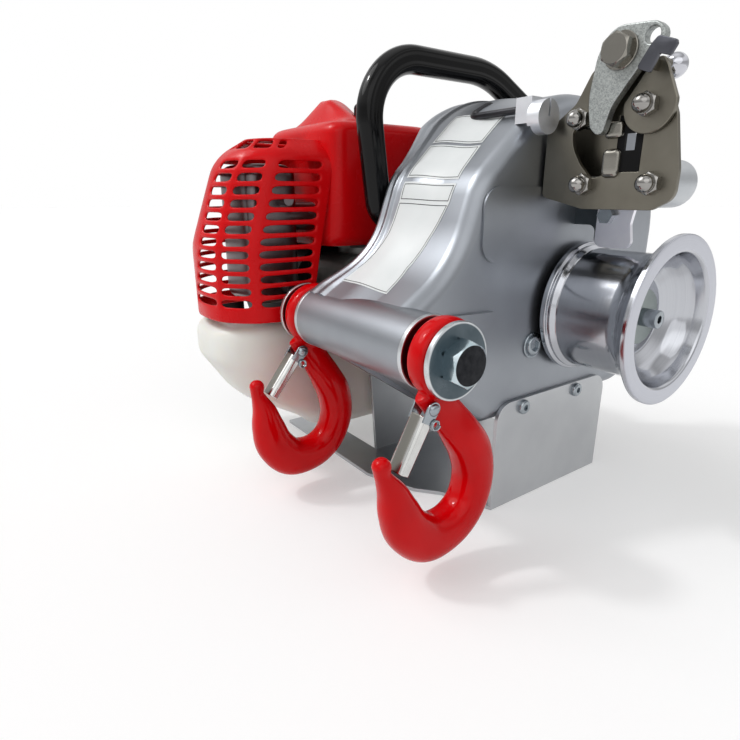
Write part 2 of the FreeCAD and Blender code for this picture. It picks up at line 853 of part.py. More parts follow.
def capstan_drum():
    wall = drum_barrel_r - drum_wall
    neck = drum_back_x + drum_back_flange
    back_r = drum_barrel_r + drum_back_lip
    rim_r = drum_barrel_r + drum_rim_flare
    profile = [(drum_back_x, output_shaft_r), (drum_back_x, back_r), (neck, back_r),
               (neck + drum_back_flange, drum_barrel_r), (drum_rim_x - drum_flare_length, drum_barrel_r),
               (drum_rim_x - drum_rim_lip, rim_r), (drum_rim_x, rim_r), (drum_rim_x,
                                                                         rim_r - drum_rim_land),
               (drum_cup_floor_x, wall), (drum_cup_floor_x, output_shaft_r)]
    rounds = [0, drum_edge_round, drum_back_round, drum_neck_round, drum_flare_round, drum_edge_round,
              drum_edge_round, drum_neck_round, drum_cup_round, 0]
    body = turned(profile, rounds, *DRUM)
    hollow = ring("x", wall, drum_hub_r, drum_back_x - overrun, drum_cup_floor_x - drum_floor, *DRUM)
    return body.cut(hollow)


def drum_washer_piece():
    return ring("x", drum_washer_r, drum_bolt_r + seat_fit, drum_cup_floor_x,
                drum_cup_floor_x + drum_washer, *DRUM)


def drum_bolt():
    seat_x = drum_cup_floor_x + drum_washer
    head = rod("x", drum_bolt_head_r, seat_x, seat_x + drum_bolt_head, *DRUM)
    shank = rod("x", drum_bolt_r, drum_cup_floor_x - drum_bolt_grip, seat_x + tiny, *DRUM)
    socket = hexagon("x", drum_bolt_hex_flats, seat_x + drum_bolt_head / 2,
                     seat_x + drum_bolt_head + overrun, *DRUM)
    return united([head, shank]).cut(socket)


def hook_centres():
    offset = washer_thick + hook_gap + hook_eye_thick / 2
    return tube_right_x + offset, tube_left_x - offset


def hook_washers():
    step = washer_thick + 2 * hook_gap + hook_eye_thick
    starts = [tube_right_x, tube_right_x + step, tube_left_x - washer_thick,
              tube_left_x - step - washer_thick]
    return group([ring("x", washer_r, hook_bolt_r + seat_fit, s, s + washer_thick, hook_axis_y,
                       hook_axis_z)
                  for s in starts])


def hook_stack():
    return 2 * washer_thick + 2 * hook_gap + hook_eye_thick


def hook_bolt():
    right = tube_right_x + hook_stack()
    left = tube_left_x - hook_stack() - hook_nut_thick
    head = hexagon("x", hook_bolt_flats, right, right + hook_bolt_head, hook_axis_y, hook_axis_z)
    return united([head, rod("x", hook_bolt_r, left, right + tiny, hook_axis_y, hook_axis_z)])


def hook_nut():
    left = tube_left_x - hook_stack()
    nut = hexagon("x", hook_bolt_flats, left - hook_nut_thick, left, hook_axis_y, hook_axis_z)
    return nut.cut(rod("x", hook_bolt_r + seat_fit, left - hook_nut_thick - overrun, left + overrun,
                       hook_axis_y, hook_axis_z))


def hook_point(x, across, down):
    return vec(x, hook_axis_y + across, hook_axis_z - down)


def bend_point(x, degrees):
    turn = math.radians(degrees)
    return hook_point(x, hook_bend_y + hook_bend_r * math.cos(turn),
                      hook_bend_drop - hook_bend_r * math.sin(turn))


def hook(x):
    """A forged eye hook: eye ring, flat neck, round bend and a tapering horn with a ball end."""
    eye = rod("x", hook_eye_r, x - hook_eye_thick / 2, x + hook_eye_thick / 2, hook_axis_y, hook_axis_z)
    eye = eye.makeFillet(hook_eye_round, [e for e in eye.Edges if e.BoundBox.XLength < tiny])
    start = bend_point(x, hook_bend_start)
    middle = bend_point(x, (hook_bend_start + hook_bend_end) / 2)
    end = bend_point(x, hook_bend_end)
    turn = math.radians(hook_bend_start)
    shank = vec(0, -math.sin(turn), math.cos(turn))
    top = start + shank * hook_shank_run
    path = Part.Wire([Part.LineSegment(top, start).toShape(), Part.Arc(start, middle, end).toShape()])
    section = Part.Wire(Part.makeCircle(hook_section_r, top, shank))
    bend = path.makePipeShell([section], True, False)
    shoulder = Part.makeSphere(hook_section_r, top)
    side = vec(0, shank.z, -shank.y) * hook_neck_half
    root = start + shank * hook_neck_run
    neck_corners = [(p.y, p.z) for p in (top + side, root + side, root - side, top - side)]
    neck = plate("x", x - hook_neck_thick / 2, x + hook_neck_thick / 2, neck_corners, 0)
    turn = math.radians(hook_bend_end + hook_horn_lean)
    up = vec(0, math.sin(turn), -math.cos(turn))
    horn = Part.makeCone(hook_section_r, hook_tip_r, hook_horn_run, end, up)
    ball = Part.makeSphere(hook_tip_r, end + up * hook_horn_run)
    knuckle = Part.makeSphere(hook_section_r, end)
    body = united([eye, neck, shoulder, bend, knuckle, horn, ball])
    body = body.cut(rod("x", hook_bolt_r + running_fit, x - overrun - hook_eye_thick,
                        x + overrun + hook_eye_thick,
                        hook_axis_y, hook_axis_z))
    pivot = hook_point(x, latch_pivot_y, latch_pivot_drop)
    return body.cut(rod("x", latch_pin_r + running_fit, x - hook_eye_thick, x + hook_eye_thick, pivot.y,
                        pivot.z))


def latch(x):
    """A sheet channel that closes the hook's mouth, with the rivet it swings on."""
    pivot = hook_point(x, latch_pivot_y, latch_pivot_drop)
    end = hook_point(x, latch_end_y, latch_end_drop)
    down = (end - pivot).normalize()
    front = vec(0, down.z, -down.y)
    half = hook_neck_thick / 2 + loose_gap
    corners = [pivot + front * latch_front_half - down * latch_ear_r / 2, end + front * latch_front_half,
               end - front * latch_back_half, pivot - front * latch_front_half]
    outline = [(p.y, p.z) for p in corners]
    ears = []
    for side in (-half - latch_sheet, half):
        ear = plate("x", x + side, x + side + latch_sheet, outline, 0)
        ears.append(ear.fuse(rod("x", latch_ear_r, x + side, x + side + latch_sheet, pivot.y, pivot.z)))
    web_top = pivot + front * latch_front_half + down * latch_web_start
    web = [web_top, web_top + front * latch_sheet, end + front * (latch_front_half + latch_sheet),
           end + front * latch_front_half]
    face = plate("x", x - half - latch_sheet, x + half + latch_sheet, [(p.y, p.z) for p in web], 0)
    pin_end = half + latch_sheet + latch_pin_head
    pin = rod("x", latch_pin_r, x - pin_end, x + pin_end, pivot.y, pivot.z)
    heads = [rod("x", latch_pin_head_r, x + s, x + s + latch_pin_head, pivot.y, pivot.z)
             for s in (-pin_end, pin_end - latch_pin_head)]
    return united(ears + [face, pin] + heads)


def swung(shape, degrees):
    copy = shape.copy()
    copy.rotate(vec(0, hook_axis_y, hook_axis_z), vec(1, 0, 0), degrees)
    return copy


def base_bracket():
    depth = base_back_y - base_front_y
    width = base_right_x - base_left_x
    front = [(base_right_x - s[0] * width, base_front_y + s[1] * depth) for s in base_notch_shares]
    floor_corners = [(base_right_x, base_back_y), (base_right_x, base_front_y)] + front + [
        (tongue_end_x, tongue_front_y), (tongue_end_x, tongue_back_y), (base_left_x, tongue_back_y),
        (base_left_x, base_back_y)]
    floor = plate("z", 0, sheet, floor_corners, 0)
    side = prism("x", base_right_x - sheet, base_right_x,
                 [(base_back_y, 0), (base_back_y, base_side_height), (base_front_y, base_side_height),
                  (base_front_y, 0)], [0, base_corner_round, base_corner_round, 0])
    lean = [(base_left_x, 0), (base_left_x + sheet, 0), (base_left_x + sheet - base_lean,
                                                         base_wall_height),
            (base_left_x - base_lean, base_wall_height)]
    wall = plate("y", tongue_back_y, base_back_y, lean, 0)
    body = united([floor, side, wall])
    for y in (base_screw_front_y, base_screw_back_y):
        body = body.cut(rod("x", base_screw_r + seat_fit, base_right_x - sheet - overrun,
                            base_right_x + overrun,
                            y, base_screw_z))
    return body


def base_screws():
    screws = []
    for y in (base_screw_front_y, base_screw_back_y):
        head = rod("x", base_screw_head_r, base_right_x, base_right_x + base_screw_head, y, base_screw_z)
        head = head.makeFillet(base_screw_head / 2,
                               [e for e in head.Edges if e.BoundBox.XMin > base_right_x + tiny])
        shank = rod("x", base_screw_r, case_right_x, base_right_x + tiny, y, base_screw_z)
        screws.append(united([head, shank]))
    return group(screws)


def carry_handle():
    points = [vec(handle_x, *case_corner(s)) for s in handle_corner_shares]
    body = bent_rod(handle_r, points, handle_rounds)
    lugs = []
    for end in (points[0], points[-1]):
        lugs.append(rod("x", handle_lug_r, handle_x, COVER_OUTER_X, end.y, end.z))
        lugs.append(Part.makeSphere(handle_r, end))
    return united([body] + lugs)


def keeper_z():
    """Height of the case's top above the clamp, from the slope between two outline corners."""
    low = case_corner(case_step_shares[1])
    high = case_corner(case_step_shares[2])
    return low[1] + (high[1] - low[1]) * (keeper_y - low[0]) / (high[0] - low[0])


def guard_rod():
    z = keeper_z() + keeper_lift
    left = keeper_x - keeper_block / 2 - keeper_reach
    points = [vec(keeper_x - keeper_block / 2, keeper_y, z), vec(left, keeper_y, z),
              vec(left, keeper_y + keeper_back, z + keeper_back / 2),
              vec(left, keeper_y + 2 * keeper_back, z - keeper_back / 2)]
    rod_body = bent_rod(keeper_rod_r, points, [keeper_bend, keeper_bend])
    case_solid = case_face(case_split_x, loose_gap).extrude(vec(case_right_x - case_split_x, 0, 0))
    return rod_body.cut(case_solid)


def guard_rod_clamp():
    z = keeper_z() + keeper_lift
    half = keeper_block / 2
    body = block(keeper_x - half, keeper_x + half, keeper_y - half, keeper_y + half,
                 z - keeper_lift - half, z + half)
    cap = rod("x", keeper_cap_r, keeper_x + half, keeper_x + half + keeper_cap, keeper_y, z - half)
    cap = cap.cut(block(keeper_x + half + keeper_cap / 2, keeper_x + half + keeper_cap + overrun,
                        keeper_y - keeper_slot / 2, keeper_y + keeper_slot / 2, z - half,
                        z + keeper_cap_r))
    body = united([body, cap])
    inner = keeper_x + half + keeper_cap / 4
    case_solid = case_face(case_split_x, 0).extrude(vec(inner - case_split_x, 0, 0))
    return body.cut(case_solid)


def grip_point(share):
    width = grip_right_x - grip_left_x
    return grip_left_x + share[0] * width, grip_bottom_z + share[1] * grip_height


def grip_outline():
    return [grip_point(s) for s in grip_corner_shares]


def window(y0, y1, width, height):
    x, z = grip_point(rope_window_share)
    return block(x - width / 2, x + width / 2, y0, y1, z - height / 2, z + height / 2)


def grip_plate(front_y):
    body = prism("y", front_y, front_y + grip_sheet, grip_outline(), grip_corner_rounds)
    for share in grip_bolt_shares:
        body = body.cut(rod("y", grip_bolt_r + seat_fit, front_y - overrun,
                            front_y + grip_sheet + overrun,
                            *grip_point(share)))
    return body


def gripper_front_plate():
    """The front plate with its rope slot, and the flange that bolts to the case."""
    back = grip_face_y + grip_sheet
    face = grip_plate(grip_face_y)
    face = face.cut(window(grip_face_y - overrun, back + overrun, rope_window_width, rope_window_height))
    face = face.cut(prism("y", grip_face_y - overrun, back + overrun,
                          [grip_point(s) for s in grip_slot_shares], grip_slot_rounds))
    holes = [(release_pivot_share, grip_bolt_r), (roller_share, grip_bolt_r), (cam_pivot_share,
                                                                               cam_bolt_r)]
    for share, radius in holes:
        face = face.cut(rod("y", radius + seat_fit, grip_face_y - overrun, back + overrun,
                            *grip_point(share)))
    low = grip_point(grip_corner_shares[0])[1] + grip_corner_rounds[0]
    top = grip_point((0, grip_flange_height_share))[1]
    end = back + grip_gap - loose_gap
    flange = block(grip_left_x, grip_left_x + grip_sheet, grip_face_y, end, low, top)
    return united([face, flange])


def gripper_rear_plate():
    """The shorter rear plate, bent to a flange that bolts to the case through two pads."""
    rear = grip_face_y + grip_sheet + grip_gap
    limit = block(grip_left_x, grip_left_x + grip_rear_width, rear - overrun, rear + grip_sheet + overrun,
                  grip_bottom_z - overrun, grip_bottom_z + grip_height + overrun)
    face = grip_plate(rear).common(limit)
    low = grip_point(grip_corner_shares[0])[1] + grip_corner_rounds[0]
    top = grip_point((0, grip_flange_height_share))[1]
    end = grip_face_y + grip_flange_length
    flange = block(grip_left_x, grip_left_x + grip_sheet, rear, end, low, top)
    z = grip_point((0, grip_pad_share))[1]
    pads = [rod("x", grip_pad_r, case_right_x, grip_left_x + tiny, y, z) for y in grip_pad_ys]
    body = united([face, flange] + pads)
    for y in grip_pad_ys:
        body = body.cut(rod("x", grip_screw_r + seat_fit, case_right_x - overrun, grip_right_x, y, z))
    return body


def gripper_mount_screws():
    z = grip_point((0, grip_pad_share))[1]
    seat = grip_left_x + grip_sheet
    screws = []
    for y in grip_pad_ys:
        head = rod("x", grip_screw_head_r, seat, seat + grip_screw_head, y, z)
        screws.append(united([head, rod("x", grip_screw_r, case_right_x, seat + tiny, y, z)]))
    return group(screws)


def gripper_bolts():
    """Two bolts through both plates with spacers, and a short one that carries the release plate."""
    front = grip_face_y
    rear = grip_face_y + 2 * grip_sheet + grip_gap
    bolts = []
    for share in grip_bolt_shares:
        x, z = grip_point(share)
        shank = rod("y", grip_bolt_r, front - dome_nut_hex, rear + tiny, x, z)
        spacer = rod("y", grip_spacer_r, front + grip_sheet, front + grip_sheet + grip_gap, x, z)
        head = hexagon("y", dome_nut_flats, rear, rear + dome_nut_hex, x, z)
        bolts.append(united([shank, spacer, head]))
    x, z = grip_point(release_pivot_share)
    shank = rod("y", grip_bolt_r, release_seat() - dome_nut_hex, front + grip_sheet + tiny, x, z)
    head = hexagon("y", dome_nut_flats, front + grip_sheet, front + grip_sheet + dome_nut_hex, x, z)
    return group(bolts + [united([shank, head])])


def release_seat():
    return grip_face_y - release_thick - loose_gap


def gripper_dome_nuts():
    seats = [(share, grip_face_y) for share in grip_bolt_shares + [roller_share]]
    nuts = []
    for share, seat in seats + [(release_pivot_share, release_seat())]:
        x, z = grip_point(share)
        nut = hexagon("y", dome_nut_flats, seat - dome_nut_hex, seat, x, z)
        nut = united([nut, Part.makeSphere(dome_r, vec(x, seat - dome_nut_hex, z))])
        nuts.append(nut.cut(rod("y", grip_bolt_r + seat_fit, seat - dome_nut_hex, seat + dome_r, x, z)))
    return group(nuts)


def cam_front():
    return grip_face_y - cam_standoff - cam_thick


def cam_lever():
    corners = [grip_point(s) for s in cam_corner_shares]
    body = prism("y", cam_front(), cam_front() + cam_thick, corners, cam_corner_rounds)
    x, z = grip_point(cam_pivot_share)
    body = body.cut(rod("y", cam_bolt_r + running_fit, cam_front() - overrun, grip_face_y, x, z))
    return body.cut(rod("y", cam_hole_r, cam_front() - overrun, grip_face_y, *grip_point(cam_hole_share)))


def cam_pivot_bolt():
    x, z = grip_point(cam_pivot_share)
    seat = cam_front() - loose_gap
    rear = grip_face_y + grip_sheet
    head = hexagon("y", cam_bolt_flats, seat - cam_washer - cam_bolt_head, seat - cam_washer, x, z)
    washer = rod("y", cam_washer_r, seat - cam_washer - tiny, seat, x, z)
    shank = rod("y", cam_bolt_r, seat - tiny, rear + cam_bolt_head, x, z)
    collar = rod("y", cam_washer_r, grip_face_y - cam_standoff + loose_gap, grip_face_y, x, z)
    nut = hexagon("y", cam_bolt_flats, rear, rear + cam_bolt_head, x, z)
    return united([head, washer, shank, collar, nut])


def jaw_insert():
    rear = grip_face_y + grip_sheet
    gap = 2 * seat_fit
    body = window(grip_face_y, rear, rope_window_width - gap, rope_window_height - gap)
    hole = window(grip_face_y - overrun, rear + overrun, jaw_window_width, jaw_window_height)
    hole.translate(vec(0, 0, jaw_window_rise))
    return body.cut(hole)


def rope_guide_fingers():
    x = grip_point((finger_share_x, 0))[0]
    fingers = []
    for share, height in ((finger_upper_share, finger_upper_height), (finger_lower_share,
                                                                      finger_lower_height)):
        z = grip_point((0, share))[1]
        corners = [(x - finger_width / 2, grip_face_y), (x - finger_width / 2,
                                                         grip_face_y - finger_thick),
                   (x, grip_face_y - finger_reach), (x + finger_width / 2,
                                                     grip_face_y - finger_reach / 2),
                   (x + finger_width / 2, grip_face_y)]
        fingers.append(plate("z", z - height / 2, z + height / 2, corners, 0))
    return group(fingers)


def release_plate():
    """The plate that frees the cam: a disc on its bolt, a bent thumb tab, and a knob on a stem."""
    rear = grip_face_y - loose_gap / 2
    front = rear - release_thick
    pivot = grip_point(release_pivot_share)
    disc = rod("y", release_disc_r, front, rear, *pivot)
    tab = [grip_point(s) for s in release_tab_shares]
    knob_at = grip_point(knob_share)
    arm_corners = [(pivot[0] - release_arm_half, pivot[1]), (pivot[0] + release_disc_r, pivot[1]), tab[3],
                   tab[4]]
    arm = plate("y", front, rear, arm_corners, 0)
    tab_front = front - release_tab_lift
    face = plate("y", tab_front, tab_front + release_thick, tab, release_thick / 2)
    bridge = plate("y", tab_front, rear, [tab[4], (tab[4][0], tab[4][1] - release_arm_half),
                                         (tab[3][0], tab[3][1] - release_arm_half), tab[3]], 0)
    stem = rod("y", knob_stem_r, front, grip_face_y + knob_depth, *knob_at)
    ball = Part.makeSphere(knob_r, vec(knob_at[0], grip_face_y + knob_depth, knob_at[1]))
    lug = rod("y", release_arm_half, front, rear, *knob_at)
    link_corners = [(pivot[0] - release_arm_half, pivot[1]), (pivot[0] + release_arm_half, pivot[1]),
                    (knob_at[0] + release_arm_half, knob_at[1]), (knob_at[0] - release_arm_half,
                                                                  knob_at[1])]
    link = plate("y", front, rear, link_corners, 0)
    body = united([disc, arm, face, bridge, lug, link, stem, ball])
    return body.cut(rod("y", grip_bolt_r + running_fit, front - overrun, rear + overrun, *pivot))


def roller_start():
    return grip_face_y + grip_sheet + loose_gap


def guide_roller():
    x, z = grip_point(roller_share)
    return ring("y", roller_r, roller_pin_r + running_fit, roller_start(), roller_start() + roller_length,
                x, z)


def roller_pin():
    """A shoulder bolt: thin through the plate and its nut, thick through the roller."""
    x, z = grip_point(roller_share)
    back = grip_face_y + grip_sheet
    end = roller_start() + roller_length + loose_gap
    thread = rod("y", grip_bolt_r, grip_face_y - dome_nut_hex, back + tiny, x, z)
    pin = rod("y", roller_pin_r, back, end + tiny, x, z)
    return united([thread, pin, rod("y", roller_pin_head_r, end, end + roller_pin_head, x, z)])


def guard_point(share):
    return guard_left_x + share[0] * (guard_right_x - guard_left_x), guard_bottom_z + share[1] * guard_height


def drum_guard_plate():
    corners = [guard_point(s) for s in guard_step_shares]
    face = prism("y", guard_y, guard_y + guard_sheet, corners, guard_step_rounds)
    low = guard_point(guard_step_shares[0])[1]
    top = guard_bottom_z + guard_height
    foot = block(case_right_x, guard_left_x + guard_step_rounds[0] + guard_sheet, guard_y,
                 guard_y + guard_foot, low, top)
    hole = rod("y", guard_bolt_r + seat_fit, guard_y - overrun, guard_y + guard_sheet + overrun,
               *guard_point(guard_bolt_share))
    return united([face, foot]).cut(hole)


def guard_plate_bolt():
    x, z = guard_point(guard_bolt_share)
    head = hexagon("y", guard_bolt_flats, guard_y - guard_bolt_head, guard_y, x, z)
    shank = rod("y", guard_bolt_r, guard_y - tiny, guard_y + guard_sheet, x, z)
    nut = hexagon("y", guard_bolt_flats, guard_y + guard_sheet, guard_y + guard_sheet + guard_bolt_head,
                  x, z)
    return united([head, shank, nut])


def clutch_housing():
    body = rod("x", clutch_bell_r, engine_right_x, COVER_OUTER_X, *CRANK)
    hollow = rod("x", clutch_bell_r - clutch_bell_wall, engine_right_x - overrun,
                 COVER_OUTER_X - clutch_bell_wall,
                 *CRANK)
    body = body.cut(hollow)
    return body.cut(rod("x", GEAR_BOSS_R + loose_gap, engine_right_x, COVER_OUTER_X + overrun, *CRANK))


def crankcase():
    left = engine_right_x - crankcase_length
    corners = [(CRANK[0] - crankcase_half, CRANK[1] - crankcase_drop), (CRANK[0] + crankcase_half,
                                                                        CRANK[1] - crankcase_drop),
               (CRANK[0] + crankcase_half, CRANK[1] + crankcase_rise), (CRANK[0] - crankcase_half,
                                                                        CRANK[1] + crankcase_rise)]
    body = plate("x", left, engine_right_x - case_wall, corners, crankcase_round)
    flange = rod("x", clutch_bell_r, engine_right_x - case_wall - tiny, engine_right_x, *CRANK)
    body = united([body, flange])
    return body.cut(rod("x", crank_r + running_fit, left - overrun, engine_right_x + overrun, *CRANK))


def cylinder_block():
    middle_x = engine_right_x - case_wall - crankcase_length / 2
    base_z = CRANK[1] + crankcase_rise
    height = cylinder_fins * cylinder_fin_pitch
    parts = [rod("z", cylinder_core_r, base_z, base_z + height, middle_x, CRANK[0])]
    for k in range(cylinder_fins):
        z = base_z + (k + 1) * cylinder_fin_pitch - cylinder_fin
        parts.append(block(middle_x - cylinder_core_r, middle_x + cylinder_core_r,
                           CRANK[0] - cylinder_half, CRANK[0] + cylinder_half, z, z + cylinder_fin))
    head = rod("z", cylinder_core_r / 2, base_z, SHROUD_TOP_Z - shell, middle_x, CRANK[0])
    return united(parts + [head])


def crankshaft():
    nose = clutch_drum_floor() - clutch_shoe_width - 2 * loose_gap
    return rod("x", crank_r, crank_end_x, nose + clutch_shoe_width, *CRANK)


def clutch_drum_floor():
    return COVER_OUTER_X - snout_length - loose_gap - clutch_drum_wall


def clutch_shoes():
    end = clutch_drum_floor() - loose_gap
    outer = clutch_drum_r - clutch_drum_wall - clutch_shoe_gap
    body = ring("x", outer, clutch_hub_r, end - clutch_shoe_width, end, *CRANK)
    cut = block(end - clutch_shoe_width - overrun, end + overrun, CRANK[0] - clutch_shoe_slot / 2,
                CRANK[0] + clutch_shoe_slot / 2,
                CRANK[1] - clutch_drum_r, CRANK[1] + clutch_drum_r)
    hub = ring("x", clutch_hub_r, crank_r + seat_fit, end - clutch_shoe_width, end, *CRANK)
    return group(body.cut(cut).Solids + hub.Solids)


def flywheel():
    disc = ring("x", flywheel_r, crank_r + seat_fit, flywheel_x, flywheel_x + flywheel_width / 2, *CRANK)
    hub = ring("x", flywheel_hub_r, crank_r + seat_fit, flywheel_x, flywheel_x + flywheel_width, *CRANK)
    vanes = []
    for k in range(flywheel_vanes):
        vane = block(flywheel_x + flywheel_width / 2 - tiny,
                     flywheel_x + flywheel_width / 2 + flywheel_vane,
                     CRANK[0] - flywheel_vane_thick / 2, CRANK[0] + flywheel_vane_thick / 2,
                     CRANK[1] + flywheel_hub_r, CRANK[1] + flywheel_r)
        vane.rotate(vec(0, *CRANK), vec(1, 0, 0), k * 360 / flywheel_vanes)
        vanes.append(vane)
    return united([disc, hub] + vanes)


def starter_housing():
    profile = [(starter_right_x, 0), (starter_right_x, starter_r), (starter_left_x + starter_round,
                                                                    starter_r),
               (starter_left_x, starter_r - starter_nose_in), (starter_left_x, 0)]
    body = turned(profile, [0, 0, starter_round, starter_round / 2, 0], *CRANK)
    inner = [(starter_right_x + overrun, 0), (starter_right_x + overrun, starter_r - starter_wall),
             (starter_left_x + starter_round + starter_wall, starter_r - starter_wall),
             (starter_left_x + starter_wall, starter_r - starter_nose_in), (starter_left_x + starter_wall,
                                                                            0)]
    body = body.cut(turned(inner, [0, 0, starter_round, starter_round / 2, 0], *CRANK))
    z = CRANK[1] + starter_rope_rise
    back = CRANK[0] + math.sqrt(starter_r ** 2 - starter_rope_rise ** 2)
    eyelet = rod("y", starter_eyelet_r, back - starter_eyelet_r, back + starter_eyelet_r / 2,
                 starter_rope_x, z)
    eyelet = eyelet.cut(turned(inner, [0, 0, starter_round, starter_round / 2, 0], *CRANK))
    body = united([body, eyelet])
    body = body.cut(rod("y", starter_rope_r + loose_gap, CRANK[0], back + starter_r, starter_rope_x, z))
    spoke_x = engine_right_x - crankcase_length
    bridge = ring("x", starter_r, crank_r + loose_gap, spoke_x - starter_wall, spoke_x, *CRANK)
    skirt = ring("x", starter_r, starter_r - starter_wall, starter_right_x - tiny, spoke_x, *CRANK)
    return united([body, bridge, skirt])


def starter_grip():
    z = CRANK[1] + starter_rope_rise
    back = CRANK[0] + math.sqrt(starter_r ** 2 - starter_rope_rise ** 2) + starter_eyelet_r / 2 + loose_gap
    bar = rod("x", grip_handle_r, starter_rope_x - grip_handle_length / 2,
              starter_rope_x + grip_handle_length / 2,
              back + grip_handle_r, z)
    bar = bar.makeFillet(grip_handle_r / 2, [e for e in bar.Edges if e.BoundBox.XLength < tiny])
    tail = rod("y", starter_rope_r, back - starter_rope_tail, back + grip_handle_r, starter_rope_x, z)
    return united([bar, tail])


def loft_box(levels, inset):
    """A ruled shell through rounded rectangles at rising levels."""
    wires = []
    for z, x0, x1, y0, y1, front_round, back_round in levels:
        corners = [(x0 + inset, y0 + inset), (x1 - inset, y0 + inset), (x1 - inset, y1 - inset),
                   (x0 + inset, y1 - inset)]
        rounds = [front_round, front_round, back_round, back_round]
        wires.append(rounded_wire("z", z, corners, rounds))
    return Part.makeLoft(wires, True, True)


def shroud_levels():
    low = (SHROUD_BOTTOM_Z, shroud_left_x, shroud_right_x, SHROUD_FRONT_Y, SHROUD_BACK_Y, shroud_round,
           shroud_round)
    front = SHROUD_FRONT_Y + shroud_front_lean
    shoulder = (SHROUD_TOP_Z - shroud_shoulder,) + low[1:3] + (front,) + low[4:]
    top = (SHROUD_TOP_Z, shroud_left_x + shroud_top_in, shroud_right_x - shroud_top_in,
           front + shroud_top_in,
           SHROUD_BACK_Y - shroud_top_in, shroud_round, shroud_round)
    return [low, shoulder, top]


def engine_shroud():
    body = loft_box(shroud_levels(), 0)
    foot = rounded_wire("z", SHROUD_TOP_Z - shell, [
        (peak_x - peak_foot_half_x, PEAK_Y - peak_foot_front), (peak_x + peak_foot_half_x,
                                                                PEAK_Y - peak_foot_front),
        (peak_x + peak_foot_half_x, PEAK_Y + peak_foot_back), (peak_x - peak_foot_half_x,
                                                               PEAK_Y + peak_foot_back)],
        [peak_foot_round] * 4)
    half = peak_top_r + tiny
    top = rounded_wire("z", PEAK_Z, [(peak_x - half, PEAK_Y - half), (peak_x + half, PEAK_Y - half),
                                     (peak_x + half, PEAK_Y + half), (peak_x - half, PEAK_Y + half)],
                       [peak_top_r] * 4)
    peak = Part.makeLoft([foot, top], True, True)
    inner = []
    for z, x0, x1, y0, y1, front_round, back_round in shroud_levels():
        inner.append((z - shell, x0, x1, y0, y1, front_round, back_round))
    inner[0] = (SHROUD_BOTTOM_Z - overrun,) + inner[0][1:]
    body = united([body, peak]).cut(loft_box(inner, shell))
    y, z = throttle_pivot()
    post_x = throttle_x - loose_gap
    post = block(post_x - 2 * throttle_post_half, post_x, y - throttle_post_half, y + throttle_post_half,
                 SHROUD_TOP_Z - shell, z + throttle_post_half)
    switch = block(shroud_right_x - tiny, shroud_right_x + switch_thick, SWITCH_Y - switch_half,
                   SWITCH_Y + switch_half,
                   SWITCH_Z - switch_half, SWITCH_Z + switch_half)
    body = united([body, post, switch])
    body = body.cut(rod("x", throttle_pivot_r + running_fit, post_x - throttle_post_half,
                        post_x + overrun, y, z))
    body = body.cut(rod("x", switch_button_r + running_fit, shroud_right_x - overrun,
                        shroud_right_x + switch_thick + overrun, SWITCH_Y, SWITCH_Z))
    start = rod("x", starter_r + loose_gap, shroud_left_x - overrun,
                engine_right_x - crankcase_length + loose_gap, *CRANK)
    x, z = muffler_pipe_place()
    pipe = rod("y", muffler_pipe_r + loose_gap, MUFFLER_BACK_Y, CRANK[0], x, z)
    return body.cut(start).cut(pipe)


def cover_levels():
    levels = []
    for i in range(len(COVER_LEVEL_Z)):
        levels.append((COVER_LEVEL_Z[i], cover_left_x + cover_left_in[i],
                       cover_right_x - cover_level_in[i],
                       COVER_FRONT_Y[i], COVER_BACK_Y[i], cover_level_round[i], cover_back_round))
    return levels


def level_at(values, z):
    """A cover measure at a height, between the levels that shape the cover."""
    for i in range(len(COVER_LEVEL_Z) - 1):
        if z <= COVER_LEVEL_Z[i + 1]:
            share = (z - COVER_LEVEL_Z[i]) / (COVER_LEVEL_Z[i + 1] - COVER_LEVEL_Z[i])
            return values[i] + share * (values[i + 1] - values[i])
    return values[-1]


def corner_slot(z, share, length, turns):
    """A slot across the cover's rounded front corner, at a turn that changes from the top row to the last."""
    radius = level_at(cover_level_round, z)
    turn = turns[0] + share * (turns[1] - turns[0])
    cut = block(radius - slot_depth, radius + overrun, -length / 2, length / 2, z - slot_height, z)
    cut.rotate(vec(0, 0, 0), vec(0, 0, 1), -45 - turn)
    cut.translate(vec(cover_right_x - radius, level_at(COVER_FRONT_Y, z) + radius, 0))
    return cut


def cover_slots():
    """Columns of slots: on both side faces, on the rounded corner, and round it on the front."""
    cuts = []
    for k in range(slot_rows):
        z = SLOT_TOP_Z - k * slot_pitch
        share = k / slot_rows
        side = level_at(COVER_FRONT_Y, z) + slot_side_start
        end = side + slot_side_length + slot_side_growth * share
        left = cover_left_x + level_at(cover_left_in, z)
        cuts.append(block(cover_right_x - slot_depth, cover_right_x + overrun, side, end, z - slot_height, z))
        cuts.append(block(left - overrun, left + slot_depth, side, end, z - slot_height, z))
        cuts.append(corner_slot(z, share, slot_corner_length + slot_corner_growth * share, slot_corner_turns))
        cuts.append(corner_slot(z, share, slot_front_length + slot_front_growth * share, slot_front_turns))
    return cuts


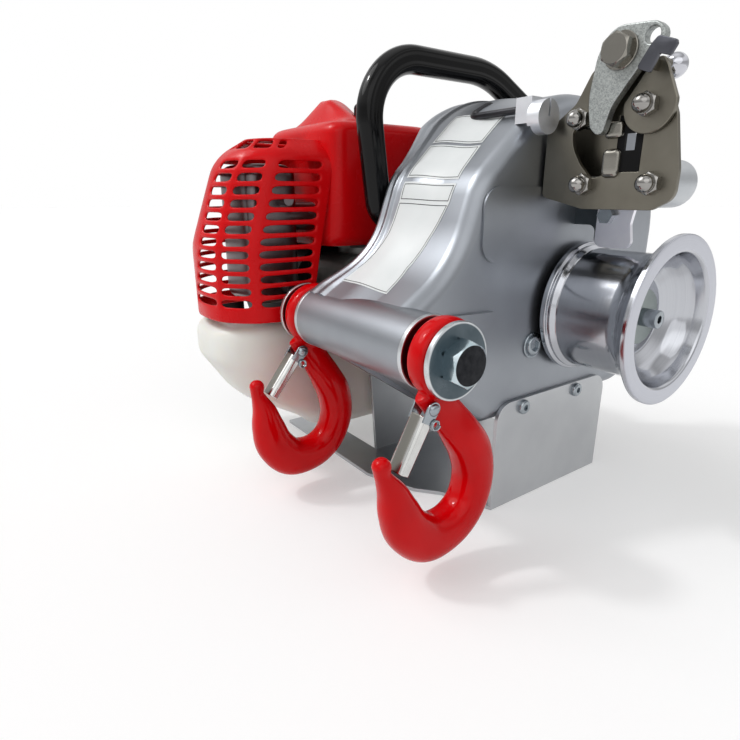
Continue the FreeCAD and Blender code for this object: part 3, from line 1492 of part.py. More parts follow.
def muffler_cover():
    body = loft_box(cover_levels(), 0)
    inner = []
    for z, x0, x1, y0, y1, front_round, back_round in cover_levels():
        inner.append((z - shell, x0 + shell, x1 - shell, y0 + shell, y1 + overrun, front_round - shell,
                      back_round))
    inner[0] = (COVER_LEVEL_Z[0] - overrun,) + inner[0][1:]
    body = body.cut(loft_box(inner, 0))
    tops = []
    left = cover_left_x + cover_left_in[-1]
    step = (cover_right_x - cover_level_in[-1] - left) / (top_slots + 1)
    start = COVER_FRONT_Y[-1] + slot_depth
    for k in range(top_slots):
        x = left + (k + 1) * step
        tops.append(block(x - slot_height / 2, x + slot_height / 2, start, start + top_slot_length,
                          COVER_LEVEL_Z[-1] - 2 * shell, COVER_LEVEL_Z[-1] + overrun))
    for cut in cover_slots() + tops:
        body = body.cut(cut)
    return body


def muffler_pipe_place():
    x = engine_right_x - case_wall - crankcase_length / 2
    return x, CRANK[1] + crankcase_rise + cylinder_fins * cylinder_fin_pitch / 2


def muffler():
    body = plate("z", MUFFLER_BOTTOM_Z, MUFFLER_TOP_Z,
                 [(muffler_left_x, MUFFLER_FRONT_Y), (muffler_right_x, MUFFLER_FRONT_Y),
                  (muffler_right_x, MUFFLER_BACK_Y), (muffler_left_x, MUFFLER_BACK_Y)], muffler_round)
    pipe = rod("y", muffler_pipe_r, MUFFLER_BACK_Y - muffler_round, CRANK[0] - cylinder_half,
               *muffler_pipe_place())
    post_y = MUFFLER_BACK_Y - muffler_round
    posts = []
    for z in (MUFFLER_BOTTOM_Z + muffler_round, MUFFLER_TOP_Z - muffler_round):
        posts.append(rod("x", muffler_post_r, muffler_right_x - muffler_round, cover_right_x - shell,
                         post_y, z))
    return united([body, pipe] + posts)


def fuel_tank():
    """The tank under the engine: sloping front below, a raised front part and a filler at the left."""
    top_z = CRANK[1] - crankcase_drop
    slope = TANK_FRONT_Y + tank_slope_depth
    stages = [(tank_bottom_z, tank_bottom_in, slope), (tank_bottom_z + tank_bottom_rise, 0,
                                                       slope - tank_bottom_in),
              (tank_belly_z, 0, TANK_FRONT_Y + tank_belly_depth), (top_z, 0, TANK_FRONT_Y),
              (TANK_FRONT_TOP_Z - tank_top_drop, 0, TANK_FRONT_Y),
              (TANK_FRONT_TOP_Z, tank_top_in, TANK_FRONT_Y + tank_top_in)]
    levels = []
    for z, inset, front in stages:
        levels.append((z, tank_left_x + inset, tank_right_x - inset, front, TANK_BACK_Y - inset,
                       tank_round - inset,
                       tank_round / 2))
    body = loft_box(levels, 0)
    step_y = TANK_FRONT_Y + tank_front_depth
    body = body.cut(block(tank_left_x - overrun, tank_right_x + overrun, step_y, TANK_BACK_Y + overrun,
                          top_z,
                          TANK_FRONT_TOP_Z + overrun))
    corners = [(filler_left_x, FILLER_FRONT_Y), (filler_right_x, FILLER_FRONT_Y), (filler_right_x,
                                                                                   FILLER_BACK_Y),
               (filler_left_x, FILLER_BACK_Y)]
    filler = plate("z", FILLER_BOTTOM_Z, FILLER_TOP_Z, corners, filler_round)
    body = united([body, filler])
    end_x = engine_right_x - crankcase_length + overrun
    body = body.cut(rod("x", starter_r + overrun, filler_left_x - overrun, end_x, *CRANK))
    return body.cut(rod("z", cap_plug_r + running_fit, FILLER_TOP_Z - cap_plug - loose_gap,
                        FILLER_TOP_Z + overrun,
                        cap_x, CAP_Y))


def fuel_cap():
    start = FILLER_TOP_Z + loose_gap
    cap = rod("z", cap_r, start, start + cap_height, cap_x, CAP_Y)
    cap = cap.makeFillet(cap_edge_round, [e for e in cap.Edges if e.BoundBox.ZLength < tiny])
    return united([cap, rod("z", cap_plug_r, FILLER_TOP_Z - cap_plug, start + tiny, cap_x, CAP_Y)])


def carburettor():
    front = CRANK[0] + crankcase_half
    body = block(carb_x - carb_half, carb_x + carb_half, front + carb_half / 2, CLEANER_FRONT_Y,
                 CARB_Z - carb_half,
                 CARB_Z + carb_half)
    throat = rod("y", carb_half / 2, front, front + carb_half / 2 + tiny, carb_x, CARB_Z)
    bottom = CARB_Z - carb_half
    seat = ring("z", primer_r + primer_wall, primer_r + running_fit, bottom - primer_seat, bottom, carb_x,
                primer_y())
    body = united([body, throat, seat])
    return body.cut(choke_hole())


def primer_y():
    return CLEANER_FRONT_Y - carb_half


def choke_place():
    return CLEANER_FRONT_Y - carb_half / 2, CARB_Z


def choke_hole():
    return rod("x", choke_pivot_r + running_fit, carb_x + carb_half / 2, carb_x + carb_half + overrun,
               *choke_place())


def choke_lever():
    y, z = choke_place()
    start = carb_x + carb_half + loose_gap
    arm = plate("x", start, start + choke_thick, [(y - choke_half, z - choke_half), (y + choke_half,
                                                                                     z - choke_half),
                                                 (y + choke_half, z + choke_length), (y - choke_half,
                                                                                      z + choke_length)],
                choke_half / 2)
    pin = rod("x", choke_pivot_r, carb_x + carb_half / 2, start + tiny, y, z)
    return united([arm, pin])


def primer_bulb():
    top = CARB_Z - carb_half - primer_travel - loose_gap
    low = top - primer_body
    dome = Part.makeSphere(primer_r, vec(carb_x, primer_y(), low))
    return united([dome.common(rod("z", primer_r, low - primer_r, low, carb_x, primer_y())),
                   rod("z", primer_r, low - tiny, top, carb_x, primer_y())])


def air_cleaner_case():
    x0 = carb_x - cleaner_half_x
    x1 = carb_x + cleaner_half_x
    body = block(x0, x1, CLEANER_FRONT_Y, CLEANER_BACK_Y, CLEANER_BOTTOM_Z, CLEANER_TOP_Z)
    return body.makeFillet(cleaner_round,
                           [e for e in body.Edges if e.BoundBox.YMin > CLEANER_FRONT_Y + tiny])


def throttle_pivot():
    return THROTTLE_Y, SHROUD_TOP_Z + throttle_post


def throttle_lever():
    y, z = throttle_pivot()
    x = throttle_x
    corners = [(y - throttle_half, z - throttle_half), (y + throttle_half, z - throttle_half),
               (y + throttle_half, z + throttle_length), (y - throttle_half, z + throttle_length)]
    arm = plate("x", x, x + throttle_thick, corners, throttle_half / 2)
    knob = rod("x", throttle_knob_r, x, x + 2 * throttle_thick, y, z + throttle_length)
    pin = rod("x", throttle_pivot_r, x - throttle_post_half, x + tiny, y, z)
    return united([arm, knob, pin])


def stop_switch():
    start = shroud_right_x - shell
    return rod("x", switch_button_r, start, start + shell + switch_thick + switch_travel, SWITCH_Y,
               SWITCH_Z)


def build():
    right, left = hook_centres()
    add("base_bracket", base_bracket())
    add("base_screws", base_screws())
    add("gear_housing", gear_housing())
    add("housing_cover", housing_cover())
    add("housing_screws", housing_screws())
    add("drain_screw", drain_screw())
    add("drum_seal", drum_seal())
    add("output_bearing", output_bearing())
    add("gear_shaft_bearings", gear_shaft_bearings())
    add("output_gear", output_gear())
    add("output_shaft", output_shaft())
    add("second_countershaft", second_countershaft())
    add("first_countershaft", first_countershaft())
    add("clutch_drum", clutch_drum())
    add("capstan_drum", capstan_drum())
    add("drum_washer", drum_washer_piece())
    add("drum_bolt", drum_bolt())
    add("hook_washers", hook_washers())
    add("hook_bolt", hook_bolt())
    add("hook_nut", hook_nut())
    add("right_hook", hook(right))
    add("right_latch", latch(right))
    add("left_hook", swung(hook(left), left_hook_swing))
    add("left_latch", swung(latch(left), left_hook_swing))
    add("carry_handle", carry_handle())
    add("guard_rod", guard_rod())
    add("guard_rod_clamp", guard_rod_clamp())
    add("gripper_front_plate", gripper_front_plate())
    add("gripper_rear_plate", gripper_rear_plate())
    add("gripper_mount_screws", gripper_mount_screws())
    add("gripper_bolts", gripper_bolts())
    add("gripper_dome_nuts", gripper_dome_nuts())
    add("cam_lever", cam_lever())
    add("cam_pivot_bolt", cam_pivot_bolt())
    add("jaw_insert", jaw_insert())
    add("rope_guide_fingers", rope_guide_fingers())
    add("release_plate", release_plate())
    add("guide_roller", guide_roller())
    add("roller_pin", roller_pin())
    add("drum_guard_plate", drum_guard_plate())
    add("guard_plate_bolt", guard_plate_bolt())
    add("clutch_housing", clutch_housing())
    add("crankcase", crankcase())
    add("cylinder_block", cylinder_block())
    add("crankshaft", crankshaft())
    add("clutch_shoes", clutch_shoes())
    add("flywheel", flywheel())
    add("starter_housing", starter_housing())
    add("starter_grip", starter_grip())
    add("engine_shroud", engine_shroud())
    add("muffler_cover", muffler_cover())
    add("muffler", muffler())
    add("fuel_tank", fuel_tank())
    add("fuel_cap", fuel_cap())
    add("carburettor", carburettor())
    add("choke_lever", choke_lever())
    add("primer_bulb", primer_bulb())
    add("air_cleaner_case", air_cleaner_case())
    add("throttle_lever", throttle_lever())
    add("stop_switch", stop_switch())


def export():
    os.makedirs("parts", exist_ok=True)
    for name, shape in PIECES.items():
        shape.exportStep("parts/" + name + ".step")
        box = shape.BoundBox
        print(name, "solids", len(shape.Solids), "valid", shape.isValid(), "cm3",
              round(shape.Volume / 1000, 1),
              "x %.1f %.1f y %.1f %.1f z %.1f %.1f" % (box.XMin, box.XMax, box.YMin, box.YMax, box.ZMin,
                                                       box.ZMax))


build()
export()
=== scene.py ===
# %% [markdown]
# # Dressing a capstan winch
#
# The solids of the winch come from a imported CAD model. This lesson gives each of them the finish of the
# real thing, and makes fuller forms for the pieces whose surface is more than a plain solid: forged hooks,
# a moulded engine cover, a blown tank, a rubber covered handle and a polished drum.

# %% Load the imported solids
import json
import math

import bmesh
import bpy
import numpy as np
from mathutils import Matrix, Vector

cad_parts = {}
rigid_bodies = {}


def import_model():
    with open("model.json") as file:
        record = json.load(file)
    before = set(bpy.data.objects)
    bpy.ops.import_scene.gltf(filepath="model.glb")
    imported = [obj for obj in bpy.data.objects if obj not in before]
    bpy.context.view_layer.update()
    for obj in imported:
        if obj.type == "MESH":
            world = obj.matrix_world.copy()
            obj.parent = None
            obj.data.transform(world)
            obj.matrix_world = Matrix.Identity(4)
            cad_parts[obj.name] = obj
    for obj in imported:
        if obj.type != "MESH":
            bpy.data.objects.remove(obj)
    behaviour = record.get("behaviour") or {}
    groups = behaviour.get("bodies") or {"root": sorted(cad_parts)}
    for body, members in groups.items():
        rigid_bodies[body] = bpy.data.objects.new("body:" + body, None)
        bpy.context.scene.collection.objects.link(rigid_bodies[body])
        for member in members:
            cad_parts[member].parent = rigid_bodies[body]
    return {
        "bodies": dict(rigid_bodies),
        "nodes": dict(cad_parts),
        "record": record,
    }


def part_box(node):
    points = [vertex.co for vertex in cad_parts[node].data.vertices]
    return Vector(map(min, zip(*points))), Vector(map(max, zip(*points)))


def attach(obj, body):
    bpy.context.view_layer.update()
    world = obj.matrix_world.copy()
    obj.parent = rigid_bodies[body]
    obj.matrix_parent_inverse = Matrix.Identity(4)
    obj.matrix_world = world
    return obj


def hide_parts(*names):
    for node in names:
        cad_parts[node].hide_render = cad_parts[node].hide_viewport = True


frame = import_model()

nodes = frame["nodes"]
kept = set(nodes.values()) | set(frame["bodies"].values())
for stray in [o for o in bpy.data.objects if o not in kept]:
    bpy.data.objects.remove(stray)
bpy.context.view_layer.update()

# %% [markdown]
# ## Points, faces and pieces
#
# Every shape below is an array of points worked out from two running parameters, so it forms a grid. The
# faces of a grid are only index sums, and numpy gives them all at once. The sizes are in millimetres, as on
# the drawing, and are turned into metres when the mesh is filled.

# %% Grids and pieces
MM = 0.001


def grid_faces(rows, columns, close_rows=False, close_columns=False):
    """Quads of a grid: each cell joins a point, its neighbour in the row, and the two in the next row."""
    across, down = columns - (not close_columns), rows - (not close_rows)
    r, c = np.meshgrid(np.arange(down), np.arange(across), indexing="ij")
    below, right = (r + 1) % rows, (c + 1) % columns
    ring = [r * columns + c, r * columns + right, below * columns + right, below * columns + c]
    return np.stack(ring, -1).reshape(-1, 4)


def close_up(mesh, crease):
    """Merges points that fall together, turns all faces outwards and keeps edges sharp above the crease."""
    bm = bmesh.new()
    bm.from_mesh(mesh)
    bmesh.ops.remove_doubles(bm, verts=bm.verts, dist=0.002 * MM)
    bmesh.ops.recalc_face_normals(bm, faces=bm.faces)
    bm.to_mesh(mesh)
    bm.free()
    mesh.shade_smooth()
    mesh.set_sharp_from_angle(angle=math.radians(crease))


def piece(name, parts, finish, body, replaces=(), crease=35.0):
    """One object from several (points, faces) surfaces, in millimetres, that rides on a body."""
    points = np.concatenate([np.asarray(p, float).reshape(-1, 3) for p, _ in parts]) * MM
    faces, start = [], 0
    for own_points, own_faces in parts:
        if isinstance(own_faces, np.ndarray):
            faces += (own_faces + start).tolist()
        else:
            faces += [[corner + start for corner in face] for face in own_faces]
        start += len(own_points)
    mesh = bpy.data.meshes.new(name)
    mesh.from_pydata(points.tolist(), [], faces)
    close_up(mesh, crease)
    mesh.materials.append(finish)
    made = bpy.data.objects.new(name, mesh)
    bpy.context.scene.collection.objects.link(made)
    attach(made, body)
    if replaces:
        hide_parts(*replaces)
    return made


print("cells in a grid of 3 by 4 points", len(grid_faces(3, 4)))

# %% [markdown]
# ## Pieces taken over from the drawing
#
# Folded plates, washers and clamps already have the right form, but a drawn edge is perfectly sharp, and real
# metal catches light on a small round. A copy of the node is merged, its flat triangles are joined into
# whole faces, and a Bevel modifier breaks the edges. The node itself is left as it came.

# %% Eased copies of drawn pieces
subpart_slot = {s["node"]: s["material_slot"] for s in frame["record"]["subparts"]}
node_body = {n: b for b, members in frame["record"]["behaviour"]["bodies"].items() for n in members}


def middle(node):
    """The centre of a node's box, in millimetres."""
    low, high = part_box(node)
    return (np.array(low) + np.array(high)) / 2 / MM


def drawn(node):
    """The points of a drawn node, in metres, and its triangles, each read as one array."""
    mesh = nodes[node].data
    points = np.zeros(len(mesh.vertices) * 3)
    mesh.vertices.foreach_get("co", points)
    corners = np.zeros(len(mesh.loops), int)
    mesh.loops.foreach_get("vertex_index", corners)
    return points.reshape(-1, 3), corners.reshape(-1, 3)


def eased(node, width, finish, segments=2, angle=32.0, flat=0.4):
    """A merged copy of a drawn node whose edges are broken by a small round."""
    points, triangles = drawn(node)
    copy = bpy.data.meshes.new(node + "_eased")
    copy.from_pydata(points.tolist(), [], triangles.tolist())
    bm = bmesh.new()
    bm.from_mesh(copy)
    bmesh.ops.remove_doubles(bm, verts=bm.verts, dist=0.004 * MM)
    bmesh.ops.dissolve_limit(bm, angle_limit=math.radians(flat), verts=bm.verts, edges=bm.edges)
    bm.to_mesh(copy)
    bm.free()
    copy.shade_smooth()
    copy.set_sharp_from_angle(angle=math.radians(angle))
    copy.materials.append(finish)
    made = bpy.data.objects.new(node + "_eased", copy)
    bpy.context.scene.collection.objects.link(made)
    ease = made.modifiers.new("ease", "BEVEL")
    ease.width = width * MM
    ease.segments = segments
    ease.limit_method = "ANGLE"
    ease.angle_limit = math.radians(angle)
    ease.harden_normals = True
    ease.use_clamp_overlap = True
    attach(made, node_body[node])
    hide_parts(node)
    return made


# %% [markdown]
# ## Finishes
#
# Each finish is a small node tree on the piece's own coordinates, in millimetres, so a grain or a blotch has
# a real size. Noise in the colour, in the roughness and in a shallow bump is what keeps metal and plastic
# from looking like flat paint.

# %% The finish maker
def screen(red, green, blue):
    """A colour as it is picked from a screen, 0 to 255, turned into linear light."""
    c = np.array([red, green, blue]) / 255
    return (*np.where(c <= 0.04045, c / 12.92, ((c + 0.055) / 1.055) ** 2.4).tolist(), 1.0)


class Finish:
    """A material in the making: its shader, and helpers that add noise driven by millimetres."""

    def __init__(self, name, **constants):
        self.material = bpy.data.materials.new(name)
        self.material.use_nodes = True
        self.tree = self.material.node_tree
        self.shader = next(n for n in self.tree.nodes if n.type == "BSDF_PRINCIPLED")
        for socket, value in constants.items():
            self.shader.inputs[socket.replace("_", " ").title().replace("Ior", "IOR")].default_value = value
        place = self.add("TexCoord")["Object"]
        self.place = self.add("VectorMath", {0: place, 1: (1 / MM,) * 3}, operation="MULTIPLY")[0]

    def add(self, kind, inputs=(), **settings):
        node = self.tree.nodes.new("ShaderNode" + kind)
        for key, value in settings.items():
            setattr(node, key, value)
        for key, value in dict(inputs).items():
            if isinstance(value, bpy.types.NodeSocket):
                self.tree.links.new(value, node.inputs[key])
            else:
                node.inputs[key].default_value = value
        return node.outputs

    def noise(self, size, detail=3.0, stretch=(1, 1, 1)):
        """Cloudy noise from 0 to 1 whose blotches are about this many millimetres across."""
        scale = tuple(s / size for s in stretch)
        place = self.add("VectorMath", {0: self.place, 1: scale}, operation="MULTIPLY")[0]
        return self.add("TexNoise", {"Vector": place, "Scale": 1.0, "Detail": detail})[0]

    def spread(self, source, low, high, from_low=0.25, from_high=0.75):
        """The source laid out between two values."""
        return self.add("MapRange", {"Value": source, 1: from_low, 2: from_high, 3: low, 4: high})[0]

    def ramp(self, source, *stops):
        """Colours along the source: pairs of a place from 0 to 1 and a colour."""
        outputs = self.add("ValToRGB", {"Fac": source})
        steps = self.tree.nodes[-1].color_ramp.elements
        while len(steps) < len(stops):
            steps.new(0.5)
        for step, (where, colour) in zip(steps, stops):
            step.position = where
            step.color = colour
        return outputs["Color"]

    def mix(self, factor, first, second):
        """Two colours mixed by a factor."""
        return self.add("Mix", {0: factor, 6: first, 7: second}, data_type="RGBA")[2]

    def sums(self, operation, first, second=0.0):
        return self.add("Math", {0: first, 1: second}, operation=operation)[0]

    def set(self, **sources):
        for socket, source in sources.items():
            self.tree.links.new(source, self.shader.inputs[socket.replace("_", " ").title()])
        return self

    def bump(self, height, distance, strength=1.0):
        inputs = {"Height": height, "Distance": distance * MM, "Strength": strength}
        self.tree.links.new(self.add("Bump", inputs)["Normal"], self.shader.inputs["Normal"])
        return self


print("middle grey in linear light %.3f" % screen(128, 128, 128)[0])


# %% Plain metal and plain plastic
def plain_metal(name, dark, light, rough, blotch=9.0, grain=0.8, depth=0.03, metallic=1.0, stretch=(1, 1, 1)):
    """A metal that is a little uneven: blotches in its colour, a fine grain in its roughness and surface."""
    f = Finish(name, metallic=metallic)
    fine = f.noise(grain, 2.0, stretch)
    f.set(base_color=f.ramp(f.noise(blotch), (0.3, screen(*dark)), (0.7, screen(*light))),
          roughness=f.spread(fine, *rough))
    return f.bump(fine, depth, 0.5).material


def plain_plastic(name, dark, light, rough, gloss, grain=0.0, depth=0.0):
    """A moulded plastic: nearly even colour, slowly varying gloss, and a fine grain from an etched mould."""
    f = Finish(name, metallic=0.0, specular_ior_level=gloss)
    f.set(base_color=f.ramp(f.noise(30.0), (0.3, screen(*dark)), (0.7, screen(*light))),
          roughness=f.spread(f.noise(16.0), *rough))
    if grain:
        f.bump(f.noise(grain, 2.0), depth, 0.4)
    return f.material


print("makers", plain_metal.__name__, plain_plastic.__name__)

# %% [markdown]
# ### Cast, folded and turned metal
#
# The gear case is blasted cast aluminium: pale, satin, with a fine pebbled skin. The base and the gripper are
# rolled stainless sheet, where the grain runs one way. The drum is turned and then polished, so very fine
# rings run round it, and only the land on its rim is left satin. Zinc is dark or blue where it was
# passivated.
# A radius or a side picks a second colour: black on the bolt's face, a painted highlight on washers and
# latches.

# %% Plain metals
PLAIN_METALS = {
    # dark and light tone, roughness from and to, blotch and grain in mm, depth of the grain in mm
    "cast_aluminium": ((150, 154, 160), (158, 162, 168), (0.36, 0.42), 40.0, 0.9, 0.008),
    "stainless": ((184, 186, 189), (194, 196, 198), (0.30, 0.37), 40.0, 0.6, 0.006, 1.0, (1, 1, 0.04)),
    "gripper_sheet": ((116, 112, 102), (127, 123, 113), (0.28, 0.36), 22.0, 0.6, 0.004, 1.0, (1, 1, 0.05)),
    "bolt_stainless": ((140, 137, 130), (150, 147, 140), (0.20, 0.21), 14.0, 0.6, 0.0004),
    "zinc_steel": ((150, 157, 163), (164, 171, 176), (0.18, 0.25), 9.0, 0.7, 0.004),
    "clamp_zinc": ((226, 228, 233), (238, 240, 244), (0.40, 0.48), 16.0, 0.8, 0.001),
    "dull_washer": ((138, 146, 144), (150, 158, 156), (0.30, 0.38), 12.0, 0.8, 0.005),
    "gear_steel": ((128, 128, 130), (140, 140, 142), (0.22, 0.30), 12.0, 0.6, 0.006),
    "dark_steel": ((60, 60, 63), (70, 70, 73), (0.32, 0.40), 12.0, 0.6, 0.006),
    "light_alloy": ((188, 192, 196), (202, 205, 208), (0.34, 0.42), 20.0, 0.6, 0.006, 0.9),
    "engine_alloy": ((128, 128, 126), (144, 144, 141), (0.42, 0.54), 12.0, 0.9, 0.03),
    "muffler_steel": ((104, 96, 98), (128, 119, 121), (0.26, 0.36), 26.0, 0.6, 0.006),
    "bright_chrome": ((146, 144, 141), (160, 158, 155), (0.06, 0.11), 12.0, 0.6, 0.002),
}
looks = {name: plain_metal(name, *row) for name, row in PLAIN_METALS.items()}
print("plain metals", len(looks))


# %% Turned and galvanised metal
def axis_distance(f, y, z):
    """The distance of a place from a line along x, from its y and z."""
    parts = f.add("SeparateXYZ", {0: f.place})
    dy, dz = f.sums("SUBTRACT", parts["Y"], y), f.sums("SUBTRACT", parts["Z"], z)
    across = f.add("CombineXYZ", {0: 0.0, 1: dy, 2: dz})[0]
    return f.add("VectorMath", {0: across}, operation="LENGTH")["Value"], parts


def polished_drum():
    """Rings of a noise for the turning, and a satin land where the radius is that of the rim."""
    f = Finish("polished_aluminium", metallic=1.0)
    radius, parts = axis_distance(f, *middle("capstan_drum")[1:])
    per_mm, land_radius, land_x = 2.6, 46.2, 106.9
    x, out = f.sums("MULTIPLY", parts["X"], per_mm), f.sums("MULTIPLY", radius, per_mm)
    line = f.add("CombineXYZ", {0: x, 1: out, 2: 0.0})[0]
    rings = f.add("TexNoise", {"Vector": line, "Scale": 1.0, "Detail": 3.0})[0]
    outside, ahead = f.sums("GREATER_THAN", radius, land_radius), f.sums("GREATER_THAN", parts["X"], land_x)
    land = f.sums("MULTIPLY", outside, ahead)
    bright = f.ramp(rings, (0.3, screen(184, 186, 192)), (0.7, screen(193, 195, 200)))
    satin = f.ramp(rings, (0.3, screen(192, 194, 202)), (0.7, screen(199, 201, 209)))
    f.set(base_color=f.mix(land, bright, satin),
          roughness=f.sums("ADD", f.spread(rings, 0.145, 0.155), f.sums("MULTIPLY", land, 0.18)))
    return f.bump(rings, 0.0006, 0.4).material


def galvanised():
    """Zinc crystals: each Voronoi cell has a grey and a gloss of its own."""
    f = Finish("galvanised", metallic=1.0)
    place = f.add("VectorMath", {0: f.place, 1: (1.7, 1.7, 1.7)}, operation="MULTIPLY")[0]
    cell = f.add("TexVoronoi", {"Vector": place, "Scale": 1.0})["Color"]
    grey = f.add("SeparateColor", {0: cell})[0]
    f.set(base_color=f.ramp(grey, (0.0, screen(142, 146, 145)), (1.0, screen(184, 188, 186))),
          roughness=f.spread(grey, 0.4, 0.5, 0, 1))
    return f.bump(f.noise(0.9), 0.02, 0.4).material


looks["polished_aluminium"] = polished_drum()
looks["galvanised"] = galvanised()
print("drum and lever", looks["polished_aluminium"].name, looks["galvanised"].name)


# %% Zinc on bolt, washers and latches
def bolt_face():
    """Blue passivated zinc on the flats, dark oil black on the face that points along +x."""
    f = Finish("hook_bolt_zinc", metallic=1.0)
    x = f.add("SeparateXYZ", {0: f.place})["X"]
    face = f.spread(x, 0.0, 1.0, 83.95, 84.1)
    flats = f.ramp(f.noise(6.0), (0.3, screen(176, 196, 204)), (0.7, screen(204, 216, 221)))
    worn = f.ramp(f.noise(4.0), (0.3, screen(30, 31, 34)), (0.7, screen(46, 47, 50)))
    f.set(base_color=f.mix(face, flats, worn), roughness=f.spread(f.noise(2.0), 0.16, 0.24))
    return f.bump(f.noise(1.2), 0.004, 0.4).material


def washer_zinc():
    """A dark passivated face, with a painted highlight in the last millimetre before the rim."""
    f = Finish("washer_zinc", metallic=1.0)
    radius, _ = axis_distance(f, *middle("hook_washers")[1:])
    # Painted highlight: the last millimetre before the rim is coloured bright by its radius.
    rim = f.spread(radius, 0.0, 1.0, 20.7, 21.4)
    face = f.ramp(f.noise(9.0), (0.3, screen(76, 87, 93)), (0.7, screen(90, 100, 106)))
    rim_highlight = f.ramp(f.noise(5.0), (0.3, screen(196, 200, 203)), (0.7, screen(212, 215, 217)))
    f.set(base_color=f.mix(rim, face, rim_highlight), roughness=f.spread(f.noise(6.0), 0.26, 0.34))
    return f.bump(f.noise(1.2), 0.004, 0.4).material


def latch_zinc(x):
    """Satin sheet with a painted highlight and a lower roughness on the folds that lie away from the middle
    of the latch.
    """
    f = Finish("latch_zinc", metallic=1.0)
    side = f.sums("ABSOLUTE", f.sums("SUBTRACT", f.add("SeparateXYZ", {0: f.place})["X"], x))
    # Painted highlight: the folds, found by their distance from the middle, are coloured bright; they are
    # also made smoother.
    fold = f.spread(side, 0.0, 1.0, 3.2, 4.2)
    cloud = f.noise(12.0, stretch=(1, 0.2, 0.2))
    satin = f.ramp(cloud, (0.3, screen(134, 132, 126)), (0.7, screen(148, 146, 140)))
    bright = f.ramp(f.noise(8.0), (0.3, screen(198, 198, 196)), (0.7, screen(214, 214, 212)))
    f.set(base_color=f.mix(fold, satin, bright), roughness=f.spread(fold, 0.32, 0.16, 0, 1))
    return f.bump(f.noise(1.0), 0.003, 0.4).material


looks["hook_bolt_zinc"] = bolt_face()
looks["washer_zinc"] = washer_zinc()
print("zinc", looks["hook_bolt_zinc"].name, looks["washer_zinc"].name)


# %% Sheet of the gripper
def release_finish():
    """Sheet metal with painted shade on its bent thumb tab, and a chromed knob behind the plate."""
    f = Finish("release_plate", metallic=1.0)
    y = f.add("SeparateXYZ", {0: f.place})["Y"]
    # Painted shade: the tab, in front of y = -63.5 mm, is coloured dark slate.
    tab = f.sums("LESS_THAN", y, -63.5)
    knob = f.sums("GREATER_THAN", y, -49.6)
    sheet = f.ramp(f.noise(12.0), (0.3, screen(118, 114, 104)), (0.7, screen(129, 125, 115)))
    dark = f.ramp(f.noise(10.0), (0.3, screen(82, 83, 89)), (0.7, screen(92, 93, 99)))
    chrome = f.ramp(f.noise(10.0), (0.3, screen(188, 189, 196)), (0.7, screen(204, 205, 211)))
    f.set(base_color=f.mix(knob, f.mix(tab, sheet, dark), chrome), roughness=f.spread(knob, 0.36, 0.07, 0, 1))
    return f.bump(f.noise(0.9), 0.003, 0.4).material


def guard_plate_finish():
    """Bright zinc on the plate, with painted shade where it meets the case."""
    f = Finish("guard_plate", metallic=1.0)
    x = f.add("SeparateXYZ", {0: f.place})["X"]
    # Painted shade: the plate is coloured dark grey left of x = 51 mm, by the case.
    shade_by_case = f.sums("LESS_THAN", x, 51.0)
    bright = f.ramp(f.noise(16.0), (0.3, screen(232, 231, 240)), (0.7, screen(243, 242, 248)))
    dark = f.ramp(f.noise(12.0), (0.3, screen(70, 76, 80)), (0.7, screen(84, 90, 94)))
    f.set(base_color=f.mix(shade_by_case, bright, dark), roughness=f.spread(f.noise(8.0), 0.28, 0.34))
    return f.bump(f.noise(0.9), 0.004, 0.4).material


looks["release_plate"] = release_finish()
looks["guard_plate"] = guard_plate_finish()
print("metal finishes", len(looks))

# %% [markdown]
# ### Paint, plastic and rubber
#
# The hooks are forged steel under thick glossy red enamel, which runs a little and shows a soft orange peel.
# The engine covers are injection moulded in a slightly brighter red. The tank is natural polyethylene: creamy
# and a little see-through, so some light scatters in it.

# %% Paint and plastic finishes
def red_enamel():
    """Two reds of a slow noise, a gloss that varies a little, and a long shallow wave where the paint ran."""
    f = Finish("forged_red", metallic=0.0, specular_ior_level=0.17)
    f.set(base_color=f.ramp(f.noise(24.0), (0.3, screen(204, 2, 8)), (0.7, screen(214, 3, 10))),
          roughness=f.spread(f.noise(14.0), 0.09, 0.15))
    return f.bump(f.noise(14.0, 1.0), 0.10, 0.25).material


def milky_tank():
    """Cream plastic that lets some light scatter inside it."""
    f = Finish("cream_plastic", metallic=0.0, specular_ior_level=0.3, subsurface_weight=0.25,
               subsurface_scale=0.012, subsurface_radius=(1.0, 0.8, 0.5))
    f.set(base_color=f.ramp(f.noise(40.0), (0.3, screen(236, 235, 226)), (0.7, screen(243, 243, 237))),
          roughness=f.spread(f.noise(9.0), 0.32, 0.42))
    return f.bump(f.noise(6.0), 0.04, 0.25).material


looks["forged_red"] = red_enamel()
looks["cream_plastic"] = milky_tank()
PLAIN_PLASTICS = {
    # dark and light tone, roughness from and to, gloss, grain and its depth in mm
    "red_plastic": ((212, 7, 14), (220, 9, 17), (0.22, 0.30), 0.16),
    "black_handle": ((7, 7, 8), (11, 11, 12), (0.10, 0.14), 0.22),
    "black_plastic": ((18, 18, 19), (27, 27, 28), (0.40, 0.52), 0.15, 0.7, 0.03),
    "black_rubber": ((12, 12, 13), (19, 19, 20), (0.5, 0.65), 0.12, 0.9, 0.03),
}
looks.update({name: plain_plastic(name, *row) for name, row in PLAIN_PLASTICS.items()})
print("finishes", sorted(looks))

# %% [markdown]
# ## The nodes take their finishes
#
# A node that stays visible gets the finish of its own slot. A few slots are shared by pieces that look
# different on the real winch, so those are named one by one.

